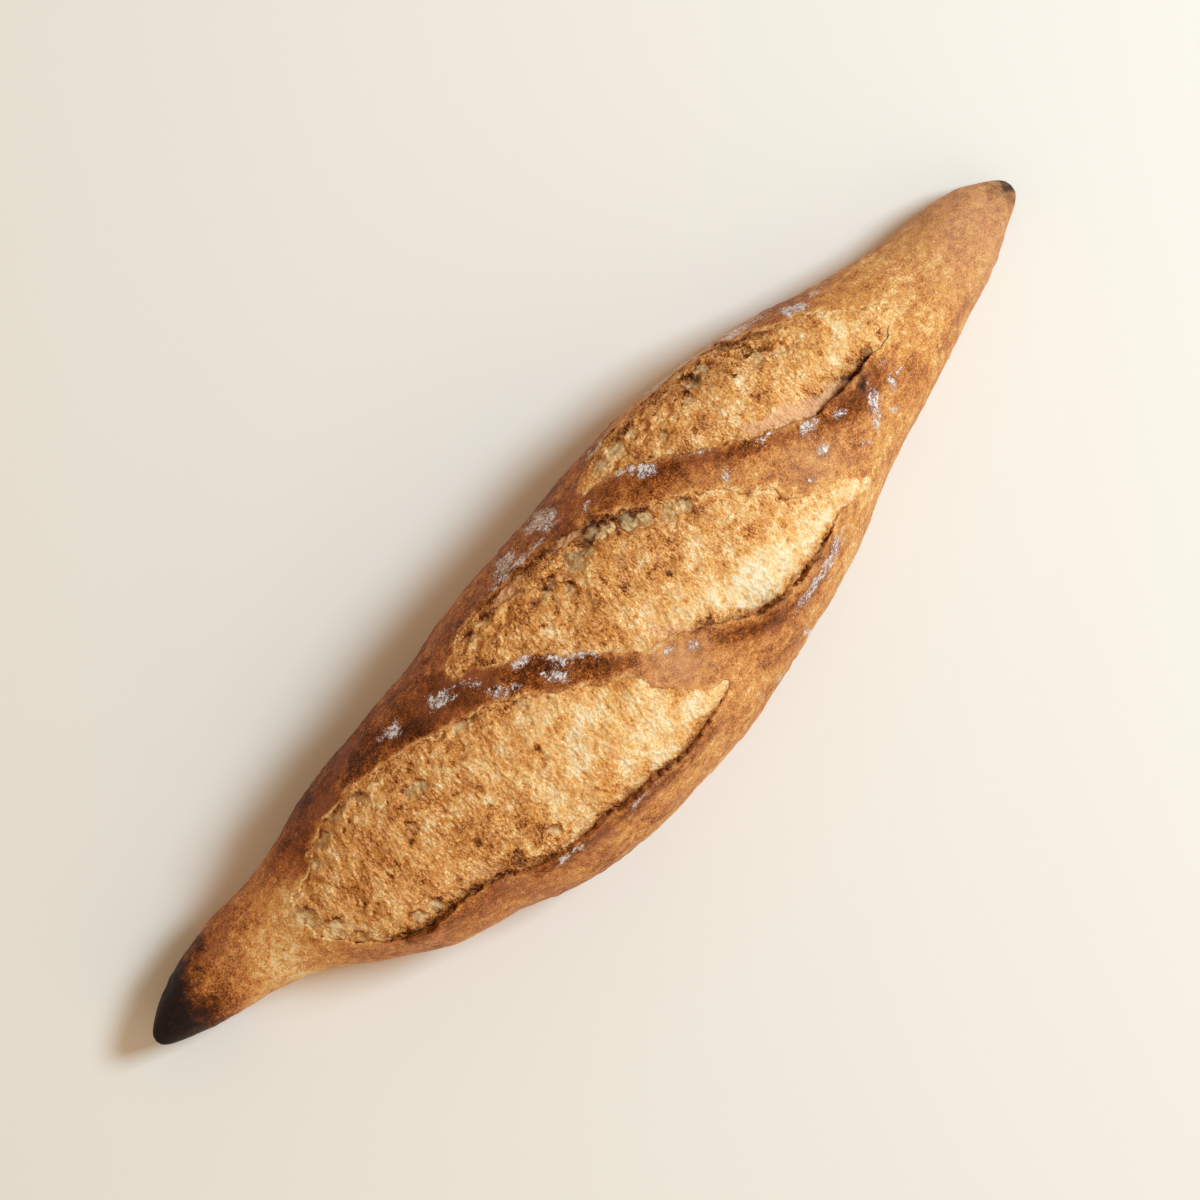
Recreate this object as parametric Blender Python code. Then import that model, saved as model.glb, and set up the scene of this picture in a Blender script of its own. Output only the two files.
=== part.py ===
"""A short baguette with pointed ends and three opened cuts, as one solid.

The loaf lies on its flat base along X. Its sections are lofted from tip to tip, and the three
cuts are worked into the top: each has a crust lip that lifts along one side and crumb that
swells out of it.
"""

import math

import bmesh
import bpy
import numpy as np

MM = 0.001

# ---------------------------------------------------------------- driving dimensions (millimetres)
LENGTH = 320.0
STATIONS = (
    # along, sideways, half width, thickness, underside
    (-160.0, 0.0, 0.0, 0.0, 13.0),
    (-156.0, 0.3, 4.4, 8.5, 8.5),
    (-145.0, 0.8, 9.2, 17.5, 4.0),
    (-130.0, 0.4, 12.6, 24.5, 0.8),
    (-115.0, -2.5, 16.0, 29.5, 0.0),
    (-100.0, -6.5, 22.5, 36.0, 0.0),
    (-85.0, -9.1, 28.2, 43.0, 0.0),
    (-65.0, -11.3, 32.7, 49.0, 0.0),
    (-45.0, -14.0, 37.1, 53.5, 0.0),
    (-20.0, -13.5, 40.0, 56.0, 0.0),
    (5.0, -11.6, 40.3, 56.0, 0.0),
    (35.0, -7.9, 38.3, 54.0, 0.0),
    (60.0, -5.0, 34.0, 49.5, 0.0),
    (85.0, -2.4, 26.9, 42.0, 0.0),
    (105.0, -2.2, 20.7, 35.0, 0.0),
    (125.0, -1.0, 15.3, 28.5, 0.0),
    (140.0, 0.6, 12.2, 23.0, 0.6),
    (152.0, 1.3, 7.2, 13.5, 3.0),
    (160.0, 1.0, 0.0, 0.0, 6.5),
)
WAIST = 0.36          # height of the widest line, as a share of the thickness
ROUNDNESS = 2.3       # exponent of the upper half's superellipse
BASE = 0.62           # half width of the flat base, as a share of the half width

# Each cut's rim, once round: along, sideways (seen from above), and how far the crust lip lifts.
CUTS = {
    "first": (
        (-112.0, -2.2, 0.3), (-109.0, -6.0, 0.5), (-107.0, -12.0, 0.8), (-101.5, -19.0, 1.2),
        (-94.5, -25.0, 2.0), (-85.5, -29.6, 3.0), (-74.0, -30.6, 3.0), (-64.0, -33.5, 2.2),
        (-55.0, -37.4, 1.8), (-42.0, -40.5, 3.0), (-25.0, -42.0, 3.5), (-8.0, -43.4, 3.5),
        (3.0, -42.4, 2.2), (14.0, -38.5, 0.5), (6.0, -34.5, 0.2), (1.0, -27.6, 0.3),
        (-6.0, -17.8, 0.6), (-18.0, -9.4, 0.8), (-30.0, -1.5, 0.8), (-42.0, 4.0, 0.8),
        (-56.0, 7.4, 0.8), (-66.0, 9.3, 0.6), (-76.5, 11.3, 0.5), (-87.5, 9.4, 0.5),
        (-95.0, 7.4, 0.4), (-99.5, 2.8, 0.4), (-107.0, 1.2, 0.4),
    ),
    "middle": (
        (-36.0, 12.8, 0.3), (-28.0, 9.0, 1.0), (-19.0, 3.5, 1.5), (-10.0, -3.5, 1.5),
        (-2.0, -10.8, 1.2), (5.0, -16.7, 0.8), (14.0, -21.2, 1.5), (22.0, -26.1, 3.0),
        (30.0, -31.0, 4.0), (40.0, -33.5, 4.0), (51.5, -32.4, 3.0), (63.5, -28.7, 1.2),
        (77.0, -27.3, 0.3), (71.0, -22.7, 0.2), (62.3, -18.8, 0.3), (55.5, -10.4, 0.5),
        (47.5, -2.5, 0.8), (37.8, 5.5, 1.0), (29.0, 10.9, 1.2), (21.0, 15.3, 1.2),
        (10.0, 18.8, 1.5), (-6.0, 20.3, 1.5), (-21.0, 20.8, 1.2), (-30.0, 18.3, 0.6),
    ),
    "last": (
        (21.0, 22.3, 0.3), (29.0, 21.2, 1.0), (37.0, 17.3, 1.8), (47.5, 10.7, 2.5),
        (57.5, 4.5, 2.5), (66.5, 0.0, 2.5), (75.5, -4.8, 2.5), (85.0, -7.0, 3.5),
        (91.5, -7.1, 3.5), (99.0, -5.6, 2.0), (105.0, -4.5, 0.8), (113.0, 0.0, 0.2),
        (107.0, 5.0, 0.2), (101.0, 11.0, 0.4), (94.0, 16.3, 0.8), (85.0, 20.1, 1.0),
        (75.5, 24.5, 1.2), (65.5, 27.4, 1.0), (54.0, 28.5, 0.8), (42.0, 29.0, 0.6),
        (31.0, 27.6, 0.6), (24.0, 25.7, 0.4),
    ),
}
LIP_WIDTH = 5.0       # how far from the rim the crust lip starts to lift
STEP_WIDTH = 2.4      # how far inside the rim the surface takes to drop from the lip to the crumb
CRUMB_SINK = 0.8      # how far the crumb lies under the crust at the rim
SINK_PER_LIFT = 0.6   # and how much further for each millimetre that the lip lifts
SINK_WIDTH = 4.0      # how far the crumb takes to come up again
CRUMB_SWELL = 2.2     # how far the crumb swells out in the middle of a cut
SWELL_WIDTH = 9.0

# ---------------------------------------------------------------- how finely it is drawn
RINGS = 104           # sections from tip to tip
CROSSING = 36         # points over the top of a section
CORNER = 4            # points round each lower corner
UNDER = 4             # points across the flat base
TIP_CROWDING = 0.3    # share of the spacing that crowds towards the tips
RIM_STEPS = 6         # points between two of a rim's own

CRUST_COLOUR = (0.42, 0.19, 0.07, 1.0)


def clear_scene():
    for found in list(bpy.data.objects):
        bpy.data.objects.remove(found)


def smooth_curve(knots, values, at):
    """A smooth curve through the knots that doesn't overshoot between them."""
    step, rise = np.diff(knots), np.diff(values)
    slope = rise / step
    inner = np.where(slope[1:] * slope[:-1] > 0, 2 * slope[1:] * slope[:-1] / (slope[1:] + slope[:-1] + 1e-12), 0)
    tangent = np.concatenate([[slope[0]], inner, [slope[-1]]])
    at = np.clip(at, knots[0], knots[-1])
    k = np.clip(np.searchsorted(knots, at) - 1, 0, len(step) - 1)
    t = (at - knots[k]) / step[k]
    return (
        values[k] * (1 + 2 * t) * (1 - t) ** 2
        + values[k + 1] * t**2 * (3 - 2 * t)
        + step[k] * (tangent[k] * t * (1 - t) ** 2 - tangent[k + 1] * t**2 * (1 - t))
    )


LINES = np.array(STATIONS).T


def side(x):
    return smooth_curve(LINES[0], LINES[1], x)


def half_width(x):
    # The square is what is smoothed, which gives the tips a round end.
    return np.sqrt(np.maximum(smooth_curve(LINES[0], LINES[2] ** 2, x), 0))


def thickness(x):
    return np.sqrt(np.maximum(smooth_curve(LINES[0], LINES[3] ** 2, x), 0))


def underside(x):
    return smooth_curve(LINES[0], LINES[4], x)


def rounding(x):
    """Mean radius of the upper half of the section at x."""
    return (half_width(x) + (1 - WAIST) * thickness(x)) / 2 + 1e-9


def skin(x, girth):
    """The smooth loaf over the top: girth is the way round the section from its crest, + to +Y."""
    turn = girth / rounding(x)
    across = np.sign(np.sin(turn)) * np.abs(np.sin(turn)) ** (2 / ROUNDNESS)
    up = np.maximum(np.cos(turn), 0) ** (2 / ROUNDNESS)
    waist = underside(x) + WAIST * thickness(x)
    y = side(x) + half_width(x) * across
    z = waist + (1 - WAIST) * thickness(x) * up
    return np.stack([x, y, z], axis=-1)


def girth_at(x, y):
    """The girth of the point of the top that is seen at (x, y) from above."""
    across = np.clip((y - side(x)) / half_width(x), -0.999, 0.999)
    return rounding(x) * np.sign(across) * np.arcsin(np.abs(across) ** (ROUNDNESS / 2))


def rim_line(points):
    """A closed smooth line through a cut's points, as (along, girth, lift) on the unrolled top."""
    points = np.array(points)
    points[:, 1] = girth_at(points[:, 0], points[:, 1])
    before, after, beyond = (np.roll(points, shift, axis=0) for shift in (1, -1, -2))
    line = []
    for k in range(RIM_STEPS):
        t = k / RIM_STEPS
        line.append(
            points
            + t * (after - before) / 2
            + t**2 * (before - 2.5 * points + 2 * after - beyond / 2)
            + t**3 * (beyond - before + 3 * (points - after)) / 2
        )
    return np.stack(line, axis=1).reshape(-1, 3)


def to_rim(flat, line):
    """For points on the unrolled top: distance to the rim (negative inside the cut), and the nearest rim point."""
    start, end = line, np.roll(line, -1, axis=0)
    run = (end - start)[:, :2]
    away = flat[:, None, :] - start[None, :, :2]
    share = np.clip((away * run).sum(-1) / (run**2).sum(-1), 0, 1)
    gap = np.linalg.norm(away - share[..., None] * run, axis=-1)
    best = gap.argmin(axis=1)
    rows = np.arange(len(flat))
    share = share[rows, best][:, None]
    nearest = start[best] * (1 - share) + end[best] * share
    spans = (start[:, 1] > flat[:, None, 1]) != (end[:, 1] > flat[:, None, 1])
    rise = np.where(run[:, 1] == 0, 1e-9, run[:, 1])
    crossing = start[:, 0] + (flat[:, None, 1] - start[:, 1]) / rise * run[:, 0]
    inside = (spans & (flat[:, None, 0] < crossing)).sum(axis=1) % 2 == 1
    return np.where(inside, -gap[rows, best], gap[rows, best]), nearest


def relief(distance, lift):
    """How far the surface stands off the smooth loaf, by its distance from a cut's rim."""
    lip = lift * np.exp(-((distance / LIP_WIDTH) ** 2))
    depth = np.maximum(-distance, 0)
    sink = (CRUMB_SINK + SINK_PER_LIFT * lift) * np.exp(-depth / SINK_WIDTH)
    crumb = CRUMB_SWELL * (1 - np.exp(-depth / SWELL_WIDTH)) - sink
    step = np.clip(depth / STEP_WIDTH, 0, 1)
    return lip * (1 - step) + crumb * step


def crossed(distance):
    """Grid points that are the nearer end of an edge that crosses the rim."""
    near = np.zeros(distance.shape, bool)
    for axis in (0, 1):
        first = np.moveaxis(distance, axis, 0)[:-1]
        second = np.moveaxis(distance, axis, 0)[1:]
        crosses = first * second < 0
        marked = np.moveaxis(near, axis, 0)
        marked[:-1] |= crosses & (np.abs(first) <= np.abs(second))
        marked[1:] |= crosses & (np.abs(second) < np.abs(first))
    return near


def stations_along():
    share = np.linspace(0, 1, RINGS + 2)[1:-1]
    even, crowded = 2 * share - 1, -np.cos(math.pi * share)
    return LENGTH / 2 * ((1 - TIP_CROWDING) * even + TIP_CROWDING * crowded)


def upper_points(x):
    """The top, as a grid of points, with the cuts worked in."""
    turns = np.linspace(-math.pi / 2, math.pi / 2, CROSSING)
    along = np.repeat(x[:, None], CROSSING, axis=1)
    girth = rounding(along) * turns
    height = np.zeros(along.shape)
    for points in CUTS.values():
        line = rim_line(points)
        distance, nearest = to_rim(np.stack([along.ravel(), girth.ravel()], axis=1), line)
        distance, nearest = distance.reshape(along.shape), nearest.reshape(*along.shape, 3)
        on_rim = crossed(distance)
        along = np.where(on_rim, nearest[..., 0], along)
        girth = np.where(on_rim, nearest[..., 1], girth)
        raised = relief(np.where(on_rim, 0, distance), nearest[..., 2])
        height = np.where((distance < 0) | on_rim, raised, np.maximum(height, raised))
    nudge = 0.05
    run = skin(along + nudge, girth) - skin(along - nudge, girth)
    round_way = skin(along, girth + nudge) - skin(along, girth - nudge)
    outward = np.cross(run, round_way)
    outward /= np.linalg.norm(outward, axis=-1, keepdims=True) + 1e-12
    edge_fade = np.clip((math.pi / 2 - np.abs(girth / rounding(along))) / 0.25, 0, 1)
    return skin(along, girth) + outward * (height * edge_fade)[..., None]


def lower_points(x):
    """The rest of each section: down the +Y corner, across the base and up the -Y corner."""
    turn = np.linspace(0, math.pi / 2, CORNER + 2)[1:-1]
    across = np.concatenate([
        BASE + (1 - BASE) * np.cos(turn), np.linspace(BASE, -BASE, UNDER), -BASE - (1 - BASE) * np.sin(turn),
    ])
    down = np.concatenate([1 - np.sin(turn), np.zeros(UNDER), 1 - np.cos(turn)])
    along = np.repeat(x[:, None], len(across), axis=1)
    y = side(along) + half_width(along) * across
    z = underside(along) + WAIST * thickness(along) * down
    return np.stack([along, y, z], axis=-1)


def loft(rings, first_tip, last_tip):
    """A closed mesh through the rings, with a point at each end."""
    mesh = bmesh.new()
    rows = [[mesh.verts.new(p) for p in ring] for ring in rings]
    tips = mesh.verts.new(first_tip), mesh.verts.new(last_tip)
    around = len(rings[0])
    for near, far in zip(rows[:-1], rows[1:]):
        for k in range(around):
            mesh.faces.new((near[k], far[k], far[k - 1], near[k - 1]))
    for k in range(around):
        mesh.faces.new((tips[0], rows[0][k], rows[0][k - 1]))
        mesh.faces.new((tips[1], rows[-1][k - 1], rows[-1][k]))
    bmesh.ops.recalc_face_normals(mesh, faces=mesh.faces)
    return mesh


def tip_point(x):
    return np.array([x, float(side(np.array(x))), float(underside(np.array(x)))])


def crust_material():
    material = bpy.data.materials.new("baked_crust")
    material.use_nodes = True
    shader = material.node_tree.nodes["Principled BSDF"]
    shader.inputs["Base Color"].default_value = CRUST_COLOUR
    shader.inputs["Roughness"].default_value = 0.55
    shader.inputs["Metallic"].default_value = 0.0
    return material


def make_loaf():
    x = stations_along()
    rings = np.concatenate([upper_points(x), lower_points(x)], axis=1)
    tips = [tip_point(end * LENGTH / 2) for end in (-1, 1)]
    everything = np.concatenate([rings.reshape(-1, 3), tips])
    middle = (everything.min(axis=0) + everything.max(axis=0)) / 2
    shift = np.array([middle[0], middle[1], 0])
    mesh = loft((rings - shift) * MM, *((tip - shift) * MM for tip in tips))
    data = bpy.data.meshes.new("loaf")
    mesh.to_mesh(data)
    mesh.free()
    data.shade_smooth()
    data.materials.append(crust_material())
    return bpy.data.objects.new("loaf", data)


def main():
    clear_scene()
    collection = bpy.data.collections.new("baguette")
    bpy.context.scene.collection.children.link(collection)
    collection.objects.link(make_loaf())


main()
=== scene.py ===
# %% [markdown]
# # A short baguette with three cuts that burst open
# The real loaf is one piece of baked dough. Its skin dried to a brown crust, and where the baker
# cut it the inside swelled out, tore in fine strands and toasted. So the model has two kinds of
# surface: a closed crust with three pockets in its top, and a closed lens of crumb in each pocket.
# One displaced surface for both would be simpler, but it can't overhang, and the thin lifted lip
# of crust along a cut is what makes a baguette look right.

# %% Load the fixed frame
import math

import bpy
import numpy as np
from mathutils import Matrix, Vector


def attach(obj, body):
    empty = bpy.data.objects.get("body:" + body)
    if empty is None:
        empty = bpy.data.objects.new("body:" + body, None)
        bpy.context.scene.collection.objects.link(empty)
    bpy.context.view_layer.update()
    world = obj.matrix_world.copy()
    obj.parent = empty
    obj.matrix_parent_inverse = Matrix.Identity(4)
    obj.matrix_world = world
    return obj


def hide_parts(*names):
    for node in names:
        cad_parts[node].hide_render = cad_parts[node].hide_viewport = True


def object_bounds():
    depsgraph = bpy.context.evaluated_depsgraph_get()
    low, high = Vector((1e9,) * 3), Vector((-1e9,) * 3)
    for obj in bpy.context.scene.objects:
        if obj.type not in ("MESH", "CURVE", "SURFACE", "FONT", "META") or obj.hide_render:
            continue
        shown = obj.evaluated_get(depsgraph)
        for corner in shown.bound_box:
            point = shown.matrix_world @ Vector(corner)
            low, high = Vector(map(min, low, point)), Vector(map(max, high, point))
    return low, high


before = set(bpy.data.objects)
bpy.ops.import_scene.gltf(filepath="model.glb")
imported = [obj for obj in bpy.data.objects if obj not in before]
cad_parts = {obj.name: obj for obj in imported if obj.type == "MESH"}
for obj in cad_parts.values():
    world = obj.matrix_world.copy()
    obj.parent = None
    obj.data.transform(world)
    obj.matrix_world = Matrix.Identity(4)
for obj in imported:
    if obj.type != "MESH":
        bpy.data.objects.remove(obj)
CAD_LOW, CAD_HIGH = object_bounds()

MM = 0.001
print("the loaf is", [round((h - l) / MM, 1) for l, h in zip(CAD_LOW, CAD_HIGH)], "mm")

# %% [markdown]
# ## The camera
# The loaf is seen from straight above, lying across the view. A long lens far away keeps both
# tips at the same scale, as a portrait lens does. The camera comes first, because every later
# choice of detail depends on how large a millimetre is in the view.

# %% Place the camera above the loaf
VIEW_WIDTH = 315.2 * MM
VIEW_TURN = math.radians(-44.87)
VIEW_MIDDLE = (5.2 * MM, 11.4 * MM)
LENS_DISTANCE = 1.5
SEEN_HEIGHT = 20 * MM
SENSOR_MM = 36.0

camera = bpy.data.objects.new("camera", bpy.data.cameras.new("camera"))
bpy.context.scene.collection.objects.link(camera)
camera.data.sensor_width = SENSOR_MM
camera.data.lens = SENSOR_MM * LENS_DISTANCE / VIEW_WIDTH
camera.location = (*VIEW_MIDDLE, SEEN_HEIGHT + LENS_DISTANCE)
camera.rotation_euler = (0, 0, VIEW_TURN)
bpy.context.scene.camera = camera
print("lens of", round(camera.data.lens), "mm")

# %% [markdown]
# ## Uneven, like dough
# Nothing on a loaf is straight, so nearly every step adds some noise. This is gradient noise on arrays, worked
# out here so that the same noise can shape the mesh and tint it: a high strand of crumb is painted lighter, a
# painted highlight, and a pit darker, a painted shade. Blender's own noise is used later, in the materials.

# %% Noise on arrays of points
GRADIENTS = np.random.default_rng(7).normal(size=(4096, 3))
GRADIENTS /= np.linalg.norm(GRADIENTS, axis=1)[:, None]
NOISE_GAIN = 1.7


def noise(points, size, seed=0):
    """Smooth noise, about -1 to 1, with bumps of the given size; both in millimetres."""
    spot = points / size
    corner = np.floor(spot).astype(np.int64)
    inside = spot - corner
    fade = inside**3 * (inside * (6 * inside - 15) + 10)
    total = np.zeros(len(points))
    for step in np.ndindex(2, 2, 2):
        cell = corner + step
        key = cell[:, 0] * 73856093 ^ cell[:, 1] * 19349663 ^ cell[:, 2] * 83492791 ^ (seed + 1) * 2654435
        key = (key ^ (key >> 13)) * 1274126177
        gradient = GRADIENTS[(key ^ (key >> 16)) & 4095]
        weight = np.prod(np.where(step, fade, 1 - fade), axis=1)
        total += weight * ((inside - step) * gradient).sum(axis=1)
    return total * NOISE_GAIN


def cloudy(points, size, seed=0, octaves=3):
    """Noise with finer and fainter noise on top."""
    return sum(noise(points, size / 2**k, seed + k) / 2**k for k in range(octaves))


def cells(points, size, seed=0):
    """Distance to the nearest of scattered seeds, in cell sizes, and a random number for each seed."""
    spot = points / size
    corner = np.floor(spot).astype(np.int64)
    nearest = np.full(len(points), 9.0)
    label = np.zeros(len(points))
    for step in np.ndindex(3, 3, 3):
        cell = corner + np.array(step) - 1
        key = cell[:, 0] * 92837111 ^ cell[:, 1] * 689287499 ^ cell[:, 2] * 283923481 ^ (seed + 1) * 961748
        key = (key ^ (key >> 13)) * 1274126177
        mixed = (key ^ (key >> 16)) & 4095
        gap = np.linalg.norm(cell + 0.5 + 0.42 * GRADIENTS[mixed] - spot, axis=1)
        closer = gap < nearest
        nearest = np.where(closer, gap, nearest)
        label = np.where(closer, mixed / 4095, label)
    return nearest, label


def ramp(value, start, end):
    """0 up to start, 1 from end on, and a smooth rise between them."""
    share = np.clip((value - start) / (end - start), 0, 1)
    return share * share * (3 - 2 * share)


def soft(distance, width):
    """1 at distance 0, falling off softly over the width."""
    return np.exp(-((distance / width) ** 2))


# %% [markdown]
# ## The smooth loaf
# A baker rolls the dough to a spindle with pointed ends. Five numbers at each station say where
# its middle lies, how wide and thick it is and how far its underside is off the peel. The top of
# a section is a superellipse, the shape that rising dough takes. A skinned or sculpted mesh
# would do, but with formulas any point can be asked for: at this x, this far round the top.

# %% Stations along the loaf, in millimetres
LENGTH = 320.0
STATIONS = (
    # along, sideways, half width, thickness, underside
    (-160.0, 0.0, 0.0, 0.0, 13.0),
    (-156.0, 0.3, 4.4, 8.5, 8.5),
    (-145.0, 0.8, 9.2, 17.5, 4.0),
    (-130.0, 0.4, 12.6, 24.5, 0.8),
    (-115.0, -2.5, 16.0, 29.5, 0.0),
    (-100.0, -6.5, 22.5, 36.0, 0.0),
    (-85.0, -9.1, 28.2, 43.0, 0.0),
    (-65.0, -11.3, 32.7, 49.0, 0.0),
    (-45.0, -14.0, 37.1, 53.5, 0.0),
    (-20.0, -13.5, 40.0, 56.0, 0.0),
    (5.0, -11.6, 40.3, 56.0, 0.0),
    (35.0, -7.9, 38.3, 54.0, 0.0),
    (60.0, -5.0, 34.0, 49.5, 0.0),
    (85.0, -2.4, 26.9, 42.0, 0.0),
    (105.0, -2.2, 20.7, 35.0, 0.0),
    (125.0, -1.0, 15.3, 28.5, 0.0),
    (140.0, 0.6, 12.2, 23.0, 0.6),
    (152.0, 1.3, 7.2, 13.5, 3.0),
    (160.0, 1.0, 0.0, 0.0, 6.5),
)
WAIST = 0.36
ROUNDNESS = 2.3
BASE = 0.62
LINES = np.array(STATIONS).T


def smooth_curve(knots, values, at):
    """A smooth curve through the knots that doesn't overshoot between them."""
    step, rise = np.diff(knots), np.diff(values)
    slope = rise / step
    both = slope[1:] * slope[:-1]
    inner = np.where(both > 0, 2 * both / (slope[1:] + slope[:-1] + 1e-12), 0)
    tangent = np.concatenate([[slope[0]], inner, [slope[-1]]])
    at = np.clip(at, knots[0], knots[-1])
    k = np.clip(np.searchsorted(knots, at) - 1, 0, len(step) - 1)
    t = (at - knots[k]) / step[k]
    level = values[k] * (1 + 2 * t) * (1 - t) ** 2 + values[k + 1] * t**2 * (3 - 2 * t)
    return level + step[k] * (tangent[k] * t * (1 - t) ** 2 - tangent[k + 1] * t**2 * (1 - t))


def side(x):
    return smooth_curve(LINES[0], LINES[1], x)


def half_width(x):
    return np.sqrt(np.maximum(smooth_curve(LINES[0], LINES[2] ** 2, x), 0))


def thickness(x):
    return np.sqrt(np.maximum(smooth_curve(LINES[0], LINES[3] ** 2, x), 0))


def underside(x):
    return smooth_curve(LINES[0], LINES[4], x)


def rounding(x):
    """Mean radius of the top of the section at x."""
    return (half_width(x) + (1 - WAIST) * thickness(x)) / 2 + 1e-9


def skin(x, girth):
    """A point of the smooth top: girth is the way round from the crest, + towards +Y."""
    turn = girth / rounding(x)
    across = np.sign(np.sin(turn)) * np.abs(np.sin(turn)) ** (2 / ROUNDNESS)
    up = np.maximum(np.cos(turn), 0) ** (2 / ROUNDNESS)
    waist = underside(x) + WAIST * thickness(x)
    return np.stack([x, side(x) + half_width(x) * across, waist + (1 - WAIST) * thickness(x) * up], axis=-1)


def outward(x, girth, nudge=0.05):
    """The direction straight out of the smooth top."""
    run = skin(x + nudge, girth) - skin(x - nudge, girth)
    round_way = skin(x, girth + nudge) - skin(x, girth - nudge)
    normal = np.cross(run, round_way)
    return normal / (np.linalg.norm(normal, axis=-1, keepdims=True) + 1e-12)


def girth_at(x, y):
    """How far round the top the point is that is seen at (x, y) from above."""
    across = np.clip((y - side(x)) / half_width(x), -0.999, 0.999)
    return rounding(x) * np.sign(across) * np.arcsin(np.abs(across) ** (ROUNDNESS / 2))


print("girth over the top at the middle:", round(float(math.pi * rounding(np.array(0.0)))), "mm")

# %% [markdown]
# ## The three cuts
# A slash opens along one side: the dough pushes up there and lifts a thin lip of crust, which
# bakers call the ear. The other side stays joined and only tears a little. Each rim is a short
# list of corner points with a smooth curve through them, and each point says how far the lip
# lifts. Noise then makes the edge as ragged as torn dough is.

# %% Rims of the cuts: along, sideways as seen from above, lift of the lip
CUTS = {
    "first": (
        (-112.0, -2.2, 0.3), (-109.0, -6.0, 0.5), (-107.0, -12.0, 0.8), (-101.5, -19.0, 1.2),
        (-94.5, -25.0, 2.0), (-85.5, -29.6, 3.0), (-74.0, -30.6, 3.0), (-64.0, -33.5, 2.2),
        (-55.0, -37.4, 1.8), (-42.0, -40.5, 3.0), (-25.0, -42.0, 3.5), (-8.0, -43.4, 3.5),
        (3.0, -42.4, 2.2), (14.0, -38.5, 0.5), (6.0, -34.5, 0.2), (1.0, -27.6, 0.3),
        (-6.0, -17.8, 0.6), (-18.0, -9.4, 0.8), (-30.0, -1.5, 0.8), (-42.0, 4.0, 0.8),
        (-56.0, 7.4, 0.8), (-66.0, 9.3, 0.6), (-76.5, 11.3, 0.5), (-87.5, 9.4, 0.5),
        (-95.0, 7.4, 0.4), (-99.5, 2.8, 0.4), (-107.0, 1.2, 0.4),
    ),
    "middle": (
        (-36.0, 12.8, 0.3), (-28.0, 9.0, 0.5), (-19.0, 3.5, 0.6), (-10.0, -3.5, 0.6),
        (-2.0, -10.8, 0.5), (5.0, -16.7, 0.4), (14.0, -21.2, 1.0), (22.0, -26.1, 3.0),
        (30.0, -31.0, 4.0), (40.0, -33.5, 4.0), (51.5, -32.4, 3.0), (63.5, -28.7, 1.2),
        (77.0, -27.3, 0.3), (71.0, -22.7, 0.2), (62.3, -18.8, 0.3), (55.5, -10.4, 0.5),
        (47.5, -2.5, 0.8), (37.8, 5.5, 1.0), (29.0, 10.9, 1.2), (21.0, 15.3, 1.2),
        (10.0, 18.8, 1.5), (-6.0, 20.3, 1.5), (-21.0, 20.8, 1.2), (-30.0, 18.3, 0.6),
    ),
    "last": (
        (21.0, 22.3, 0.3), (29.0, 21.2, 0.6), (37.0, 17.3, 0.9), (47.5, 10.7, 1.3),
        (57.5, 4.5, 1.3), (66.5, 0.0, 1.1), (75.5, -4.8, 1.4), (85.0, -7.0, 3.6),
        (91.5, -7.1, 4.6), (99.0, -5.6, 2.6), (105.0, -4.5, 0.8), (113.0, 0.0, 0.2),
        (107.0, 5.0, 0.2), (101.0, 11.0, 0.4), (94.0, 16.3, 0.8), (85.0, 20.1, 1.0),
        (75.5, 24.5, 1.2), (65.5, 27.4, 1.0), (54.0, 28.5, 0.8), (42.0, 29.0, 0.6),
        (31.0, 27.6, 0.6), (24.0, 25.7, 0.4),
    ),
}
RIM_STEPS = 16


def through(points, steps):
    """A closed smooth line through the points, with this many steps between two of them."""
    before, after, beyond = (np.roll(points, shift, axis=0) for shift in (1, -1, -2))
    line = []
    for k in range(steps):
        t = k / steps
        line.append(
            points
            + t * (after - before) / 2
            + t**2 * (before - 2.5 * points + 2 * after - beyond / 2)
            + t**3 * (beyond - before + 3 * (points - after)) / 2
        )
    return np.stack(line, axis=1).reshape(-1, points.shape[1])


def torn_rim(corners, seed):
    """The rim as rows of (along, girth, lift, and the direction into the cut)."""
    points = np.array(corners)
    points[:, 1] = girth_at(points[:, 0], points[:, 1])
    line = through(points, RIM_STEPS)
    run = np.roll(line, -1, axis=0)[:, :2] - np.roll(line, 1, axis=0)[:, :2]
    inward = np.stack([-run[:, 1], run[:, 0]], axis=1) / np.linalg.norm(run, axis=1)[:, None]
    at = np.column_stack([line[:, :2], np.zeros(len(line))])
    ragged = 1.0 * noise(at, 7.0, seed) + 0.7 * noise(at, 3.0, seed + 1) + 0.4 * noise(at, 1.4, seed + 3)
    line[:, :2] += inward * (ragged * (1.25 - 0.6 * ramp(line[:, 2], 0.8, 2.5)))[:, None]
    line[:, 2] *= 1 + 0.35 * noise(at, 7.0, seed + 2)
    return np.column_stack([line, inward])


RIMS = {name: torn_rim(corners, 10 * k) for k, (name, corners) in enumerate(CUTS.items())}
FAR = 99.0
REACH = 24.0
CHUNK = 4000


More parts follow.
